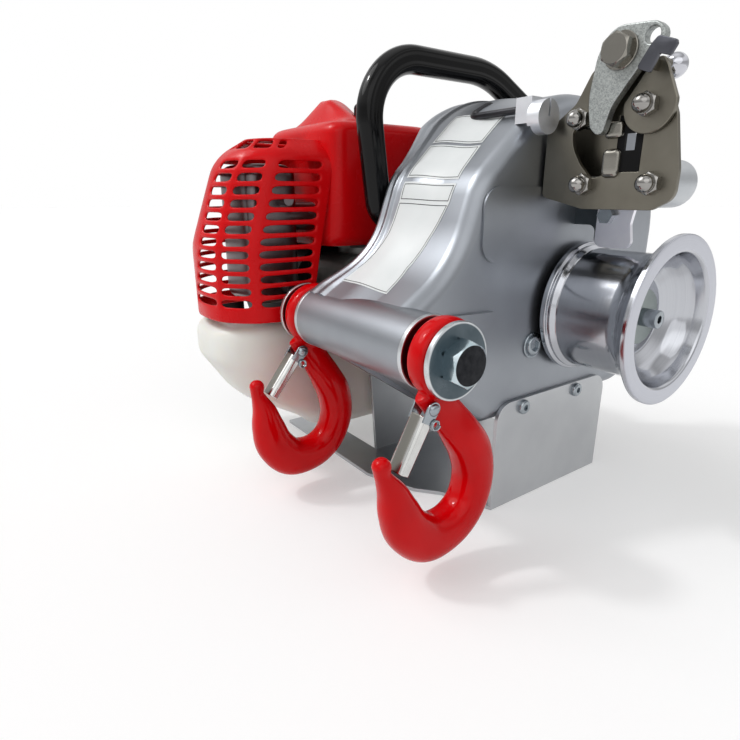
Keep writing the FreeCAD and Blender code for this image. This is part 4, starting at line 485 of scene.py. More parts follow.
# %% Finishes on the drawn nodes
own_look = {
    "gripper_front_plate": "gripper_sheet", "gripper_rear_plate": "gripper_sheet",
    "rope_guide_fingers": "gripper_sheet", "cam_lever": "galvanised", "cam_pivot_bolt": "bolt_stainless",
    "hook_washers": "washer_zinc", "release_plate": "release_plate", "drum_guard_plate": "guard_plate",
    "drum_washer": "dull_washer", "guard_rod_clamp": "clamp_zinc",
}
look_of = {n: looks[own_look.get(n, s)] for n, s in subpart_slot.items()}
for name, node in nodes.items():
    for k in range(len(node.data.materials)):
        node.data.materials[k] = look_of[name]
edge_width = {  # millimetres
    "base_bracket": 0.6, "gripper_front_plate": 0.5, "gripper_rear_plate": 0.5, "cam_lever": 0.8,
    "guard_rod_clamp": 0.8, "hook_washers": 0.6, "drum_guard_plate": 0.6, "guide_roller": 0.6,
    "gear_housing": 0.45, "jaw_insert": 0.4, "drum_washer": 0.4, "air_cleaner_case": 3.0,
    "starter_housing": 1.2, "clutch_housing": 0.8, "muffler": 3.0, "crankcase": 1.0,
    "housing_cover": 0.8, "fuel_cap": 0.8, "carburettor": 0.8, "starter_grip": 0.6,
}
for name, width in edge_width.items():
    eased(name, width, look_of[name])
print("eased", len(edge_width), "of", len(nodes))

# %% [markdown]
# ## The forged hooks
#
# A hook is drop forged: a flat eye, a neck just thick enough to carry the latch, a fat round bend and a horn
# that ends in a small ball. Drawing the blend between eye and neck by hand would be slow. Instead the bend is
# a section whose two half widths change along a path, the eye is a rounded ring, and a fine voxel remesh
# with a little smoothing melts the two together as the forging die would.

# %% Turned and carried surfaces
def on_axis(axis, along, u, v):
    """Points from a place along an axis and two across it."""
    along, u, v = np.broadcast_arrays(along, u, v)
    order = {"x": (along, u, v), "y": (u, along, v), "z": (u, v, along)}[axis]
    return np.stack(order, -1)


def turned(axis, profile, centre, steps=96):
    """A surface of revolution: radius times cosine and sine of the turn, for each (along, radius) point."""
    along, radius = np.asarray(profile, float).T
    turn = np.linspace(0, 2 * np.pi, steps, endpoint=False)
    u, v = centre[0] + radius[:, None] * np.cos(turn), centre[1] + radius[:, None] * np.sin(turn)
    points = on_axis(axis, along[:, None], u, v).reshape(-1, 3)
    return points, grid_faces(len(along), steps, close_columns=True)


def squared(turn, exponent):
    """A superellipse: the cosine and the sine of the turn, each raised to a power that keeps its sign."""
    c, s = np.cos(turn), np.sin(turn)
    return np.sign(c) * np.abs(c) ** exponent, np.sign(s) * np.abs(s) ** exponent


def carried(path, width, thick, x, power=2.0, steps=40):
    """A superellipse carried along a line in the plane across x: width lies in the plane, thick along x."""
    path = np.asarray(path, float)
    run = np.gradient(path, axis=0)
    run /= np.linalg.norm(run, axis=1)[:, None]
    across = np.stack([-run[:, 1], run[:, 0]], -1)
    c, s = squared(np.linspace(0, 2 * np.pi, steps, endpoint=False), 2 / power)
    yz = path[:, None] + across[:, None] * (np.asarray(width)[:, None] * c)[..., None]
    points = np.concatenate([(x + np.asarray(thick)[:, None] * s)[..., None], yz], -1)
    return points.reshape(-1, 3), grid_faces(len(path), steps, close_columns=True)


print("points round a turned piece", len(turned("x", [(0, 1), (1, 1)], (0, 0))[0]) // 2)


# %% Line of a hook
HOOK = middle("hook_washers")[1:]
RIGHT_HOOK_X = middle("right_hook")[0]
LEFT_HOOK_X = middle("left_hook")[0]
LEFT_SWING = -9.0
HOOK_LINE = [(-10.5, -16.1), (-1.5, -26.9), (7.6, -37.7), (17.0, -49.5), (26.0, -63.0), (30.3, -81.0),
             (25.6, -99.5), (12.0, -111.3), (-7.5, -113.3), (-22.0, -102.5), (-29.5, -87.5), (-34.0, -74.5),
             (-38.6, -65.5), (-41.2, -60.3), (-41.8, -55.4)]
HOOK_WIDTH = [10.5, 10.8, 11.4, 12.4, 13.2, 12.4, 12.2, 13.2, 15.0, 14.6, 12.4, 9.0, 5.9, 4.6, 5.5]
HOOK_THICK = [4.7, 4.7, 6.0, 10.6, 12.4, 12.6, 12.4, 12.6, 12.8, 12.2, 10.6, 8.8, 6.6, 5.2, 5.5]


def swung(surface, degrees, centre):
    """A surface turned about an axis along x: y and z mix by the cosine and sine of the angle."""
    points, faces = surface
    c, s = math.cos(math.radians(degrees)), math.sin(math.radians(degrees))
    y, z = points[:, 1] - centre[0], points[:, 2] - centre[1]
    return np.stack([points[:, 0], centre[0] + y * c - z * s, centre[1] + y * s + z * c], -1), faces


def through(stations, count):
    """A smooth line through stations: cubics whose slopes come from the neighbours on both sides."""
    table = np.asarray(stations, float)
    table = np.concatenate([2 * table[:1] - table[1:2], table, 2 * table[-1:] - table[-2:-1]])
    t = np.linspace(0, len(table) - 3 - 1e-9, count)
    k = t.astype(int)
    f = (t - k)[:, None]
    a, b, c, d = (table[k + i] for i in range(4))
    square, cube = 2 * a - 5 * b + 4 * c - d, 3 * b - a - 3 * c + d
    return 0.5 * (2 * b + (c - a) * f + square * f ** 2 + cube * f ** 3)


print("hook stations", len(HOOK_LINE))

# %% Forged hooks
HOOK_VOXEL, HOOK_ROUNDS = 0.8, 8


def hook_bend(x):
    """Centre points and half widths run smoothly through their stations; a quarter circle closes the ball."""
    table = through(np.column_stack([HOOK_LINE, HOOK_WIDTH, HOOK_THICK]), 150)
    path, width, thick = HOOK + table[:, :2], table[:, 2], table[:, 3]
    along = (path[-1] - path[-2]) / np.linalg.norm(path[-1] - path[-2])
    quarter = np.radians(np.linspace(0, 90, 9))[1:]
    tip = path[-1] + along * HOOK_WIDTH[-1] * np.sin(quarter)[:, None]
    path = np.concatenate([path[:1] - 1e-3, path, tip])
    width = np.r_[0.0, width, HOOK_WIDTH[-1] * np.cos(quarter)]
    thick = np.r_[0.0, thick, HOOK_THICK[-1] * np.cos(quarter)]
    return carried(path, width, thick, x, 2.3, 48)


def hook_eye(x):
    """A rounded ring: a flattened circle carried round the bolt."""
    shift, ring, half = 1.2, 15.9, 7.5
    c, s = squared(np.linspace(0, 2 * np.pi, 33), 0.75)
    return turned("x", np.stack([x + shift + half * s, ring + half * c], -1), HOOK, 96)


def melted(made, voxel, rounds):
    """The piece after a voxel remesh and a smoothing, kept as plain mesh."""
    remesh = made.modifiers.new("melt", "REMESH")
    remesh.mode = "VOXEL"
    remesh.voxel_size = voxel * MM
    soften = made.modifiers.new("soften", "SMOOTH")
    soften.factor = 0.5
    soften.iterations = rounds
    bpy.context.view_layer.update()
    shape = bpy.data.meshes.new_from_object(made.evaluated_get(bpy.context.evaluated_depsgraph_get()))
    made.modifiers.clear()
    made.data = shape
    shape.shade_smooth()
    return made


for side, x, angle in (("right", RIGHT_HOOK_X, 0.0), ("left", LEFT_HOOK_X, LEFT_SWING)):
    parts = [swung(hook_bend(x), angle, HOOK), swung(hook_eye(x), angle, HOOK)]
    made = piece(side + "_forged_hook", parts, looks["forged_red"], side + "_hook",
                 [side + "_hook"])
    melted(made, HOOK_VOXEL, HOOK_ROUNDS)
    print(made.name, len(made.data.polygons), "faces")

# %% [markdown]
# ## The latches
#
# Each hook mouth is closed by a pressed latch: a channel of thin plated sheet with rounded folds, two ears on
# a rivet through the neck, and a small coil spring. The channel is an open profile carried down the latch and
# given its thickness by Solidify, so the fold keeps the same wall as real sheet.

# %% Rounded lines and slabs
def rounded_line(corners, rounds, steps=10, closed=False):
    """A 2-D line whose corners are swapped for tangent arcs: each arc is a turn about its own centre."""
    corners = np.asarray(corners, float)
    count = len(corners)
    runs = []
    for i in range(count):
        here = corners[i]
        if rounds[i] == 0 or (not closed and i in (0, count - 1)):
            runs.append(here[None])
            continue
        a = corners[i - 1] - here
        b = corners[(i + 1) % count] - here
        a, b = a / np.linalg.norm(a), b / np.linalg.norm(b)
        half = math.acos(np.clip(a @ b, -1, 1)) / 2
        centre = here + (a + b) / np.linalg.norm(a + b) * rounds[i] / math.sin(half)
        tangent = rounds[i] / math.tan(half)
        first, last = here + a * tangent - centre, here + b * tangent - centre
        swing = math.pi - 2 * half
        t = np.linspace(0, 1, steps + 1)[:, None]
        runs.append(centre + (np.sin((1 - t) * swing) * first + np.sin(t * swing) * last) / math.sin(swing))
    return np.concatenate(runs)


def evenly(line, count, closed=False):
    """The same line with its points spread evenly by length."""
    if closed:
        line = np.concatenate([line, line[:1]])
    run = np.r_[0, np.cumsum(np.linalg.norm(np.diff(line, axis=0), axis=1))]
    at = np.linspace(0, run[-1], count, endpoint=not closed)
    return np.stack([np.interp(at, run, line[:, k]) for k in range(line.shape[1])], -1)


def slab(axis, outline, start, end, edge=0.4):
    """An outline carried through its thickness, drawn in a little at both faces to round the edge."""
    outline = np.asarray(outline, float)
    run = np.roll(outline, -1, 0) - np.roll(outline, 1, 0)
    run /= np.linalg.norm(run, axis=1)[:, None]
    ahead = np.roll(outline, -1, 0)
    area = np.sum(outline[:, 0] * ahead[:, 1] - ahead[:, 0] * outline[:, 1])
    inward = np.stack([-run[:, 1], run[:, 0]], -1) * np.sign(area)
    turn = np.radians([90, 60, 30, 0])
    level = np.r_[start + edge * (1 - np.sin(turn)), end - edge * (1 - np.sin(turn[::-1]))]
    draw = edge * np.r_[1 - np.cos(turn), 1 - np.cos(turn[::-1])]
    uv = outline[None] + inward[None] * draw[:, None, None]
    points = on_axis(axis, level[:, None], uv[..., 0], uv[..., 1]).reshape(-1, 3)
    count = len(outline)
    sides = grid_faces(len(level), count, close_columns=True).tolist()
    last = (len(level) - 1) * count
    return points, sides + [list(range(count)), list(range(last, last + count))]


print("points on a rounded corner", len(rounded_line([(0, 0), (9, 0), (9, 9)], [0, 3, 0])) - 2)


# %% Latch sheet and ears
PIVOT = np.array([-10.4, -27.5])
LATCH_END = np.array([-27.8, -58.2])
LATCH_HALF, LATCH_WALL = 5.9, 1.3


def latch_parts(x):
    """A channel profile carried from the pivot to the mouth, a little shallower towards its end."""
    down = (LATCH_END - PIVOT) / np.linalg.norm(LATCH_END - PIVOT)
    front = np.array([down[1], -down[0]])
    half = rounded_line([(LATCH_HALF, -2.6), (LATCH_HALF, 4.4), (0, 4.4)], [0, 3.2, 0], 8)
    profile = evenly(np.concatenate([half, half[::-1][1:] * [-1, 1]]), 41)
    run = np.array([5.5, 6.2, 8.0, 12, 18, 24, 30, 36.0, 39.4, 40.2])
    depth = np.interp(run, [5.5, 40.2], [1.0, 0.84])
    across = profile[None, :, 0] * np.ones(len(run))[:, None]
    ahead = profile[None, :, 1] * depth[:, None]
    yz = HOOK + PIVOT + down * run[:, None, None] + front * ahead[..., None]
    points = np.concatenate([(x + across)[..., None], yz], -1)
    return (points.reshape(-1, 3), grid_faces(len(run), len(profile))), down, front


def ear(x, down, front):
    """A tongue: half a circle round the rivet, then straight down to the channel."""
    turn, r = np.linspace(0, np.pi, 20), 4.6
    half_circle = np.stack([-r * np.sin(turn), r * np.cos(turn)], -1)
    tongue = np.concatenate([half_circle, [[9.0, -2.8], [9.0, 4.2]]])
    outline = HOOK + PIVOT + tongue[:, :1] * down + tongue[:, 1:] * front
    return slab("x", outline, x - 0.75, x + 0.75, 0.3)


print("latch length %.1f mm" % np.linalg.norm(LATCH_END - PIVOT))


# %% Latches with rivets and springs
def dome_profile(start, out, r, rise):
    """A rivet head: a quarter ellipse from its rim to its crown."""
    turn = np.radians(np.linspace(0, 90, 10))
    curve = np.stack([start + out * rise * np.sin(turn), r * np.cos(turn)], -1)
    return np.concatenate([[[start, 0.0]], curve])


def coil(x, centre, r, wire, turns, pitch):
    """A helix about x, with a small circle carried along it."""
    t = np.linspace(0, 2 * np.pi * turns, int(28 * turns))
    c, s = np.cos(t), np.sin(t)
    path = np.stack([x + pitch * t / (2 * np.pi), centre[0] + r * c, centre[1] + r * s], -1)
    out = np.stack([0 * t, c, s], -1)
    q = np.linspace(0, 2 * np.pi, 10, endpoint=False)
    size = np.r_[0.0, np.full(len(t) - 2, wire), 0.0]
    circle = out[:, None] * np.cos(q)[:, None] + np.array([1.0, 0, 0]) * np.sin(q)[:, None]
    points = path[:, None] + size[:, None, None] * circle
    return points.reshape(-1, 3), grid_faces(len(t), 10, close_columns=True)


for side, x, angle in (("right", RIGHT_HOOK_X, 0.0), ("left", LEFT_HOOK_X, LEFT_SWING)):
    channel, down, front = latch_parts(x)
    plated = latch_zinc(x)
    sheet = piece(side + "_latch_sheet", [swung(channel, angle, HOOK)], plated, side + "_latch",
                  [side + "_latch"], 60)
    wall = sheet.modifiers.new("wall", "SOLIDIFY")
    wall.thickness = LATCH_WALL * MM
    wall.offset = 0.0
    pivot = HOOK + PIVOT
    small = [ear(x + LATCH_HALF, down, front), ear(x - LATCH_HALF, down, front)]
    small += [turned("x", dome_profile(x + o * 6.6, o, 3.7, 2.1), pivot, 32) for o in (-1, 1)]
    small += [coil(x + 5.2, pivot + down * 7.6 - front * 5.2, 2.7, 0.55, 3.0, 0.95)]
    made = piece(side + "_latch_ears", [swung(p, angle, HOOK) for p in small], looks["zinc_steel"],
                 side + "_latch")
    print(sheet.name, len(sheet.data.polygons), made.name, len(made.data.polygons))

# %% [markdown]
# ## The polished drum
#
# The capstan drum is turned from a casting and polished: a double ring at its back, a straight barrel, a wide
# flare and a deep bright bowl. Everything about it is round, so one rounded profile turned about the axis
# gives it whole, with far finer rounds than the drawing needed.

# %% Drum
drum_corners = [(38.4, 14), (38.4, 47), (42.6, 47), (43.5, 44.9), (45.6, 45.3), (48.6, 42.5), (92.3, 42.5),
                (104.6, 56.2), (108.3, 56.2), (108.3, 44.8), (99.0, 42.6), (90.5, 37.0), (84.0, 27.0),
                (84.0, 14)]
drum_rounds = [0, 1.2, 0.9, 0.5, 0.9, 2.5, 14.0, 1.0, 0.9, 3.0, 12.0, 16.0, 5.0, 0]
drum_profile = rounded_line(drum_corners, drum_rounds, 14)
drum_profile = np.concatenate([drum_profile, drum_profile[:1]])
drum_shell = piece("drum_shell", [turned("x", drum_profile, middle("capstan_drum")[1:], 160)],
                   looks["polished_aluminium"], "drum", ["capstan_drum"], 60)
print("drum", len(drum_shell.data.polygons), "faces")

# %% [markdown]
# ## Bolts, nuts and cap nuts
#
# A hexagon head is a six sided bar whose corners a cone has taken off. That makes its radius the smaller of
# the two, worked out for every turn at once. A cap nut adds a half ball on a short hexagon.

# %% Hook bolt and nut
def hex_head(axis, flats, start, end, centre, dome=0.0, chamfer=0.93, steps=144):
    """Radius: half the flats over the cosine of the turn from the nearest flat; a cone cuts the corners."""
    turn = np.linspace(0, 2 * np.pi, steps, endpoint=False)
    hexagon = flats / 2 / np.cos((turn + np.pi / 6) % (np.pi / 3) - np.pi / 6)
    inner = flats / 2 * chamfer
    cone = np.linspace(0, 1, 9)
    levels = np.r_[0.0, 0.0, 0.1, 0.8 + 0.2 * cone, 1.0]
    caps = np.r_[0.0, 1.06, 1.2, 1.16 + (chamfer - 1.16) * cone, 0.0] * flats / 2
    radius = np.minimum(hexagon[None], caps[:, None])
    crown = dome * (1 - (radius / inner) ** 2).clip(0) * (levels[:, None] == 1)
    along = start + (end - start) * levels[:, None] + crown
    points = on_axis(axis, along, centre[0] + radius * np.cos(turn), centre[1] + radius * np.sin(turn))
    return points.reshape(-1, 3), grid_faces(len(levels), steps, close_columns=True)


def ends(node):
    """The two corners of a node's box, in millimetres."""
    return [np.array(c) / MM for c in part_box(node)]


HOOK_FLATS, HOOK_SHANK = 23.8, 8.0
low, high = ends("hook_bolt")
seat = high[0] - 9.6
shank_line = [(low[0], 0), (low[0], 6.6), (low[0] + 1.4, HOOK_SHANK), (seat, HOOK_SHANK), (seat, 0)]
shank = turned("x", shank_line, HOOK, 40)
head = hex_head("x", HOOK_FLATS, high[0] - 10.0, high[0] - 0.4, HOOK, 0.4)
bolt = piece("hook_bolt_head", [shank, head], looks["hook_bolt_zinc"], "winch_body",
             ["hook_bolt"], 25)
low, high = ends("hook_nut")
nut = piece("hook_bolt_nut", [hex_head("x", HOOK_FLATS, high[0], low[0], HOOK)], looks["zinc_steel"],
            "winch_body", ["hook_nut"], 25)
print("hook bolt and nut", [len(o.data.polygons) for o in (bolt, nut)], "faces")

# %% Cap nuts and cam bolt
GRIP_LOW = ends("gripper_front_plate")[0]
GRIP_SIZE = np.array([85.5, 84.0])
FACE_Y = -53.0
RELEASE_BOLT, CAM_BOLT = (0.771, 0.646), (0.5895, 0.970)
PLATE_BOLTS = ((0.281, 0.608), (0.353, 0.171), (0.839, 0.17))
CAM_FLATS = 15.0


def grip_point(across, up):
    """A place on the gripper's face from shares of its width and height."""
    return GRIP_LOW[0] + across * GRIP_SIZE[0], GRIP_LOW[2] + up * GRIP_SIZE[1]


def cap_nut(x, z, seat):
    """A hexagon, a short collar and a ball, all about the bolt."""
    flats, collar_radius, ball_radius = 11.0, 4.6, 4.9
    turn = np.radians(np.linspace(-20, 90, 14))
    ball = np.stack([seat - 7.4 - ball_radius * np.sin(turn), ball_radius * np.cos(turn)], -1)
    collar = [[seat - 4.0, 0.0], [seat - 4.0, collar_radius]]
    return [hex_head("y", flats, seat, seat - 5.0, (x, z)),
            turned("y", np.concatenate([collar, ball]), (x, z), 40)]


nut_parts = []
for share in PLATE_BOLTS:
    nut_parts += cap_nut(*grip_point(*share), FACE_Y)
nut_parts += cap_nut(*grip_point(*RELEASE_BOLT), FACE_Y - 3.3)
caps = piece("gripper_cap_nuts", nut_parts, looks["bright_chrome"], "winch_body",
             ["gripper_dome_nuts"], 25)
pivot = grip_point(*CAM_BOLT)
cam_washer = [(FACE_Y - 11.5, 0), (FACE_Y - 11.5, 9.2), (FACE_Y - 11.2, 9.5), (FACE_Y - 10.3, 9.5),
              (FACE_Y - 10.3, 0)]
cam_collar = [(FACE_Y - 3.7, 5.0), (FACE_Y - 3.7, 9.5), (FACE_Y, 9.5), (FACE_Y, 5.0)]
cam_shank = [(FACE_Y - 10.3, 5.0), (FACE_Y + 3.0, 5.0)]
cam_parts = [hex_head("y", CAM_FLATS, FACE_Y - 11.4, FACE_Y - 17.9, pivot, 0.0, 0.94),
             turned("y", cam_washer, pivot, 48), turned("y", cam_shank, pivot, 32),
             turned("y", cam_collar, pivot, 48), hex_head("y", CAM_FLATS, FACE_Y + 3.0, FACE_Y + 9.0, pivot)]
cam_bolt = piece("cam_bolt", cam_parts, look_of["cam_pivot_bolt"], "winch_body",
                 ["cam_pivot_bolt"], 25)
print("cap nuts and cam bolt", [len(o.data.polygons) for o in (caps, cam_bolt)], "faces")

# %% [markdown]
# ## Socket screws
#
# The plug in the case, the base screws and the drum's bolt all have a hexagon pressed into a round head. On a
# grid that is a walk from the rim over the top to the edge of the hexagon and then straight down its walls,
# where the radius is that of a hexagon instead of a circle.

# %% Screws with a hexagon socket
def socket_screw(centre, profile, flats, depth, steps=72):
    """Rings of a profile of (x, radius), then hexagon rings: half the flats over the cosine from a flat."""
    turn = np.linspace(0, 2 * np.pi, steps, endpoint=False)
    hexagon = flats / 2 / np.cos((turn + np.pi / 6) % (np.pi / 3) - np.pi / 6)
    x, r = np.asarray(profile, float).T
    top = x[-1]
    x = np.r_[x, top, top - 0.25, top - depth, top - depth]
    radius = np.concatenate([np.repeat(r[:, None], steps, 1), [hexagon + 0.3, hexagon, hexagon, 0 * hexagon]])
    points = on_axis("x", x[:, None], centre[0] + radius * np.cos(turn), centre[1] + radius * np.sin(turn))
    return points.reshape(-1, 3), grid_faces(len(x), steps, close_columns=True)


def button(seat, r, height):
    """A button head: straight at its foot, then a quarter ellipse in to two thirds of its radius."""
    turn = np.radians(np.linspace(0, 90, 9))
    along = seat + 0.3 * height + 0.7 * height * np.sin(turn)
    curve = np.stack([along, r * (0.66 + 0.34 * np.cos(turn))], -1)
    return np.concatenate([[[seat, 0.0], [seat, r]], curve])


print("points down a button head", len(button(0.0, 5.5, 3.2)))

# %% Plug, base screws and drum bolt
low, _ = ends("drain_screw")
plug_ring = [(low[0], 0), (low[0], 9.3), (low[0] + 0.3, 9.5), (low[0] + 1.1, 9.5), (low[0] + 1.5, 9.1),
             (low[0] + 1.5, 7.2)]
plug_line = np.concatenate([plug_ring, button(low[0] + 1.4, 7.0, 2.3)[1:]])
plug = piece("drain_plug", [socket_screw(middle("drain_screw")[1:], plug_line, 7.4, 1.9)],
             looks["zinc_steel"], "winch_body", ["drain_screw"], 28)
BASE_RADIUS, BASE_RISE = 5.5, 3.2
low, high = ends("base_screws")
seat = high[0] - BASE_RISE
spots = [(y, middle("base_screws")[2]) for y in (low[1] + BASE_RADIUS, high[1] - BASE_RADIUS)]
base_heads = [socket_screw(spot, button(seat, BASE_RADIUS, BASE_RISE), 4.0, 2.0) for spot in spots]
base_heads += [turned("x", [(low[0], 0), (low[0], 3.0), (seat, 3.0)], spot, 24) for spot in spots]
feet = piece("base_screw_heads", base_heads, looks["zinc_steel"], "winch_body",
             ["base_screws"], 28)
low, high = ends("drum_bolt")
axis, foot = middle("drum_bolt")[1:], high[0] - 12.0
stub = [(foot, 0), (foot, 6.2), (high[0] - 0.8, 6.2), (high[0] - 0.2, 5.9), (high[0], 5.3)]
drum_parts = [socket_screw(axis, stub, 5.0, 5.0),
              turned("x", [(low[0], 0), (low[0], 5.0), (foot, 5.0)], axis, 32)]
drum_screw = piece("drum_bolt_head", drum_parts, looks["zinc_steel"], "drum", ["drum_bolt"], 28)
print("socket screws", [len(o.data.polygons) for o in (plug, feet, drum_screw)])

# %% [markdown]
# ## The curled rope fingers
#
# Two short tongues are pressed out of the gripper's sheet and curled back to hold the rope in its jaw. Each
# one is a pillow: a rounded rectangle whose height over the plate falls away smoothly to its edge.

# %% Rope fingers
def pillow(x, z, half_x, half_z, rise, lean, count=25):
    """Rise times the root of (1 - u to the 4th)(1 - v to the 6th), on a square squeezed at its corners."""
    u, v = np.meshgrid(np.linspace(-1, 1, count), np.linspace(-1, 1, count), indexing="ij")
    px, pz = u * (1 - 0.16 * v ** 6), v * (1 - 0.16 * u ** 6)
    height = rise * np.sqrt((1 - u ** 4) * (1 - v ** 6)) * (1 + lean * u)
    front = np.stack([x + half_x * px, FACE_Y - height, z + half_z * pz], -1)
    back = np.stack([x + half_x * px, FACE_Y + 0 * height, z + half_z * pz], -1)
    faces = grid_faces(count, count)
    return [(front.reshape(-1, 3), faces), (back.reshape(-1, 3), faces[:, ::-1])]


finger_parts = []
for up, tall in ((0.518, 9.5), (0.306, 16.0)):
    finger_parts += pillow(*grip_point(0.546, up), 5.5, tall / 2, 3.4, -0.1)
fingers = piece("curled_fingers", finger_parts, looks["bolt_stainless"], "winch_body",
                ["rope_guide_fingers"], 70)
print("fingers", len(fingers.data.polygons), "faces")

# %% [markdown]
# ## The release plate
#
# A thumb lifts this plate to free the rope. It is cut from sheet: a disc on its bolt that runs up into a
# tapered arm, whose end is bent forward into a flag shaped tab. A chromed ball on a stem stands behind it.
# Seen from the bolt the plate's outline has one radius for every turn, so it is a grid of turns by levels.

# %% Release plate
def star_plate(outline, centre, hole, start, end, edge=0.4, steps=180):
    """Radius as a function of the turn, read off the outline, at levels out, over the rim and back in."""
    away = np.asarray(outline, float) - centre
    turn = np.linspace(-np.pi, np.pi, steps, endpoint=False)
    bearing = np.arctan2(away[:, 1], away[:, 0])
    order = np.argsort(bearing)
    reach = np.interp(turn, bearing[order], np.linalg.norm(away, axis=1)[order], period=2 * np.pi)
    level = np.r_[start, start, start + edge, end - edge, end, end]
    radius = np.stack([0 * turn + hole, reach - edge, reach, reach, reach - edge, 0 * turn + hole])
    u, v = centre[0] + radius * np.cos(turn), centre[1] + radius * np.sin(turn)
    return on_axis("y", level[:, None], u, v).reshape(-1, 3), grid_faces(len(level), steps, True, True)


PLATE_Y = FACE_Y - 0.15
DISC_RADIUS, BALL_RADIUS, STEM_RADIUS = 14.5, 6.5, 2.5
pin = np.array(grip_point(*RELEASE_BOLT))
knob = np.array(grip_point(0.815, 0.877))
under = np.radians(np.linspace(172, 368, 60))
disc_edge = pin + DISC_RADIUS * np.stack([np.cos(under), np.sin(under)], -1)
arm_corners = [disc_edge[-1], knob + (3.4, -1.2), knob + (0.6, 3.4), knob + (-4.2, 2.6), disc_edge[0]]
arm_edge = evenly(rounded_line(arm_corners, [0, 2.5, 2.5, 2.5, 0]), 120)
flag_shares = [(0.85, 0.999), (0.957, 0.956), (0.964, 0.932), (0.932, 0.876), (0.866, 0.899), (0.823, 0.801),
               (0.752, 0.831), (0.741, 0.850), (0.810, 0.961)]
flag_rounds = [2.0, 1.4, 1.2, 1.4, 0.8, 0.8, 0.8, 1.2, 6.0]
flag = rounded_line([grip_point(*s) for s in flag_shares], flag_rounds, 6, True)
neck = [knob + step for step in ((-4.6, 0.6), (-0.4, 1.0), (-1.2, -4.0), (-4.4, -3.0))]
arc = np.radians(np.linspace(-67, 90, 20))
ball = np.stack([FACE_Y + 10.2 + BALL_RADIUS * np.sin(arc), BALL_RADIUS * np.cos(arc)], -1)
ball[-1, 1] = 0.0
stem = np.concatenate([[[PLATE_Y - 1.5, 0.0], [PLATE_Y - 1.5, STEM_RADIUS]], ball])
release_parts = [star_plate(np.concatenate([disc_edge, arm_edge[1:-1]]), pin, 3.3, PLATE_Y - 3.0, PLATE_Y),
                 slab("y", flag, PLATE_Y - 15.0, PLATE_Y - 12.6),
                 slab("y", neck, PLATE_Y - 13.0, PLATE_Y - 2.6, 0.3), turned("y", stem, knob, 40)]
release = piece("release_sheet", release_parts, looks["release_plate"], "release_plate",
                ["release_plate"], 40)
print("release plate", len(release.data.polygons), "faces")

# %% [markdown]
# ## The carrying handle
#
# The handle is bent bar in a moulded grip whose section has two lobes: a groove runs along each side of it,
# and that groove is what draws the long bright line in a photograph. The section is carried along a rounded
# path, and the groove is a dip in its radius.

# %% Handle
CASE_LENGTH, CASE_HEIGHT, CASE_BOTTOM = 262.0, 220.08, 70.0
HANDLE_X, GRIP_RADIUS = -61.5, 9.5
HANDLE_SHARES = ((0.2405, 0.609), (0.181, 0.66), (0.126, 1.1223), (0.584, 1.1227), (0.851, 0.968),
                 (0.9046, 0.7545))


def case_place(share):
    """A place in the plane of the case from shares of its length and height."""
    return HOOK[0] + share[0] * CASE_LENGTH, CASE_BOTTOM + share[1] * CASE_HEIGHT


def handle_shape():
    """A circle whose radius dips by about a fifth at two sides, carried along the handle's line."""
    corners = [case_place(share) for share in HANDLE_SHARES]
    path = evenly(rounded_line(corners, [0, 15.0, 40.0, 80.0, 30.0, 0], 24), 170)
    run = np.gradient(path, axis=0)
    run /= np.linalg.norm(run, axis=1)[:, None]
    across = np.stack([-run[:, 1], run[:, 0]], -1)
    turn = np.linspace(0, 2 * np.pi, 64, endpoint=False)
    dip = 1 - 0.22 * np.exp(-((np.abs(np.sin(turn)) - 1) / 0.10) ** 2)
    closing = np.sin(np.radians([0, 30, 60, 80]))
    radius = GRIP_RADIUS * dip[None] * np.r_[closing, np.ones(len(path) - 8), closing[::-1]][:, None]
    yz = path[:, None] + across[:, None] * (radius * np.cos(turn))[..., None]
    x = HANDLE_X + radius * np.sin(turn)
    points = np.concatenate([x[..., None], yz], -1)
    return points.reshape(-1, 3), grid_faces(len(path), 64, close_columns=True)


LUG_RADIUS, LUG_SEAT = 8.0, -50.0
lug = [(HANDLE_X - 8.5, 0), (HANDLE_X - 7.0, 5.5), (HANDLE_X - 4, LUG_RADIUS), (LUG_SEAT, LUG_RADIUS),
       (LUG_SEAT, 0)]
lugs = [turned("x", lug, case_place(s), 40) for s in (HANDLE_SHARES[0], HANDLE_SHARES[-1])]
handle = piece("handle_grip", [handle_shape()] + lugs, looks["black_handle"], "winch_body",
               ["carry_handle"], 60)
print("handle", len(handle.data.polygons), "faces")

# %% [markdown]
# ## The engine shroud
#
# Behind the guard the engine sits under a one piece red moulding with a broad roof that rises to a fin shaped
# hump at the front. Rings of a superellipse make its walls, a quarter turn rolls them over into the roof, and
# the hump is simply added to the height of the roof, so wall and hump are one skin as in a moulding.

# %% Shroud
CRANK_Y, CRANK_Z = -78.15, 133.91
SWITCH = np.array([CRANK_Y + 18.0, CRANK_Z + 92.0])
SWITCH_HALF, SWITCH_X = 7.9, -105.0
SHROUD_X, SHROUD_HALF, SHROUD_DEPTH, SHROUD_LEAN = -155.5, 58.5, 56.0, 5.0
SHROUD_LOW, SHROUD_HIGH = CRANK_Z + 53.0, CRANK_Z + 146.0
HUMP_X, HUMP_HEIGHT = -150.0, 21.0


def hump(x, y):
    """A tent along x with a rounded ridge: it rises steeply, then narrows and fades out towards the back."""
    width = 47.0 - 25.0 * np.clip((y + 100.0) / 20.0, 0, 1)
    tent = 1 - (np.sqrt(((x - HUMP_X) / width) ** 2 + 0.02) - 0.141) / 0.86
    rise = np.clip((y + 115.0) / 13.0, 0, 1)
    fade = 0.5 + 0.5 * np.cos(np.pi * np.clip((y + 96.0) / 46.0, 0, 1))
    return HUMP_HEIGHT * np.clip(tent, 0, 1) * np.sin(rise * np.pi / 2) * fade


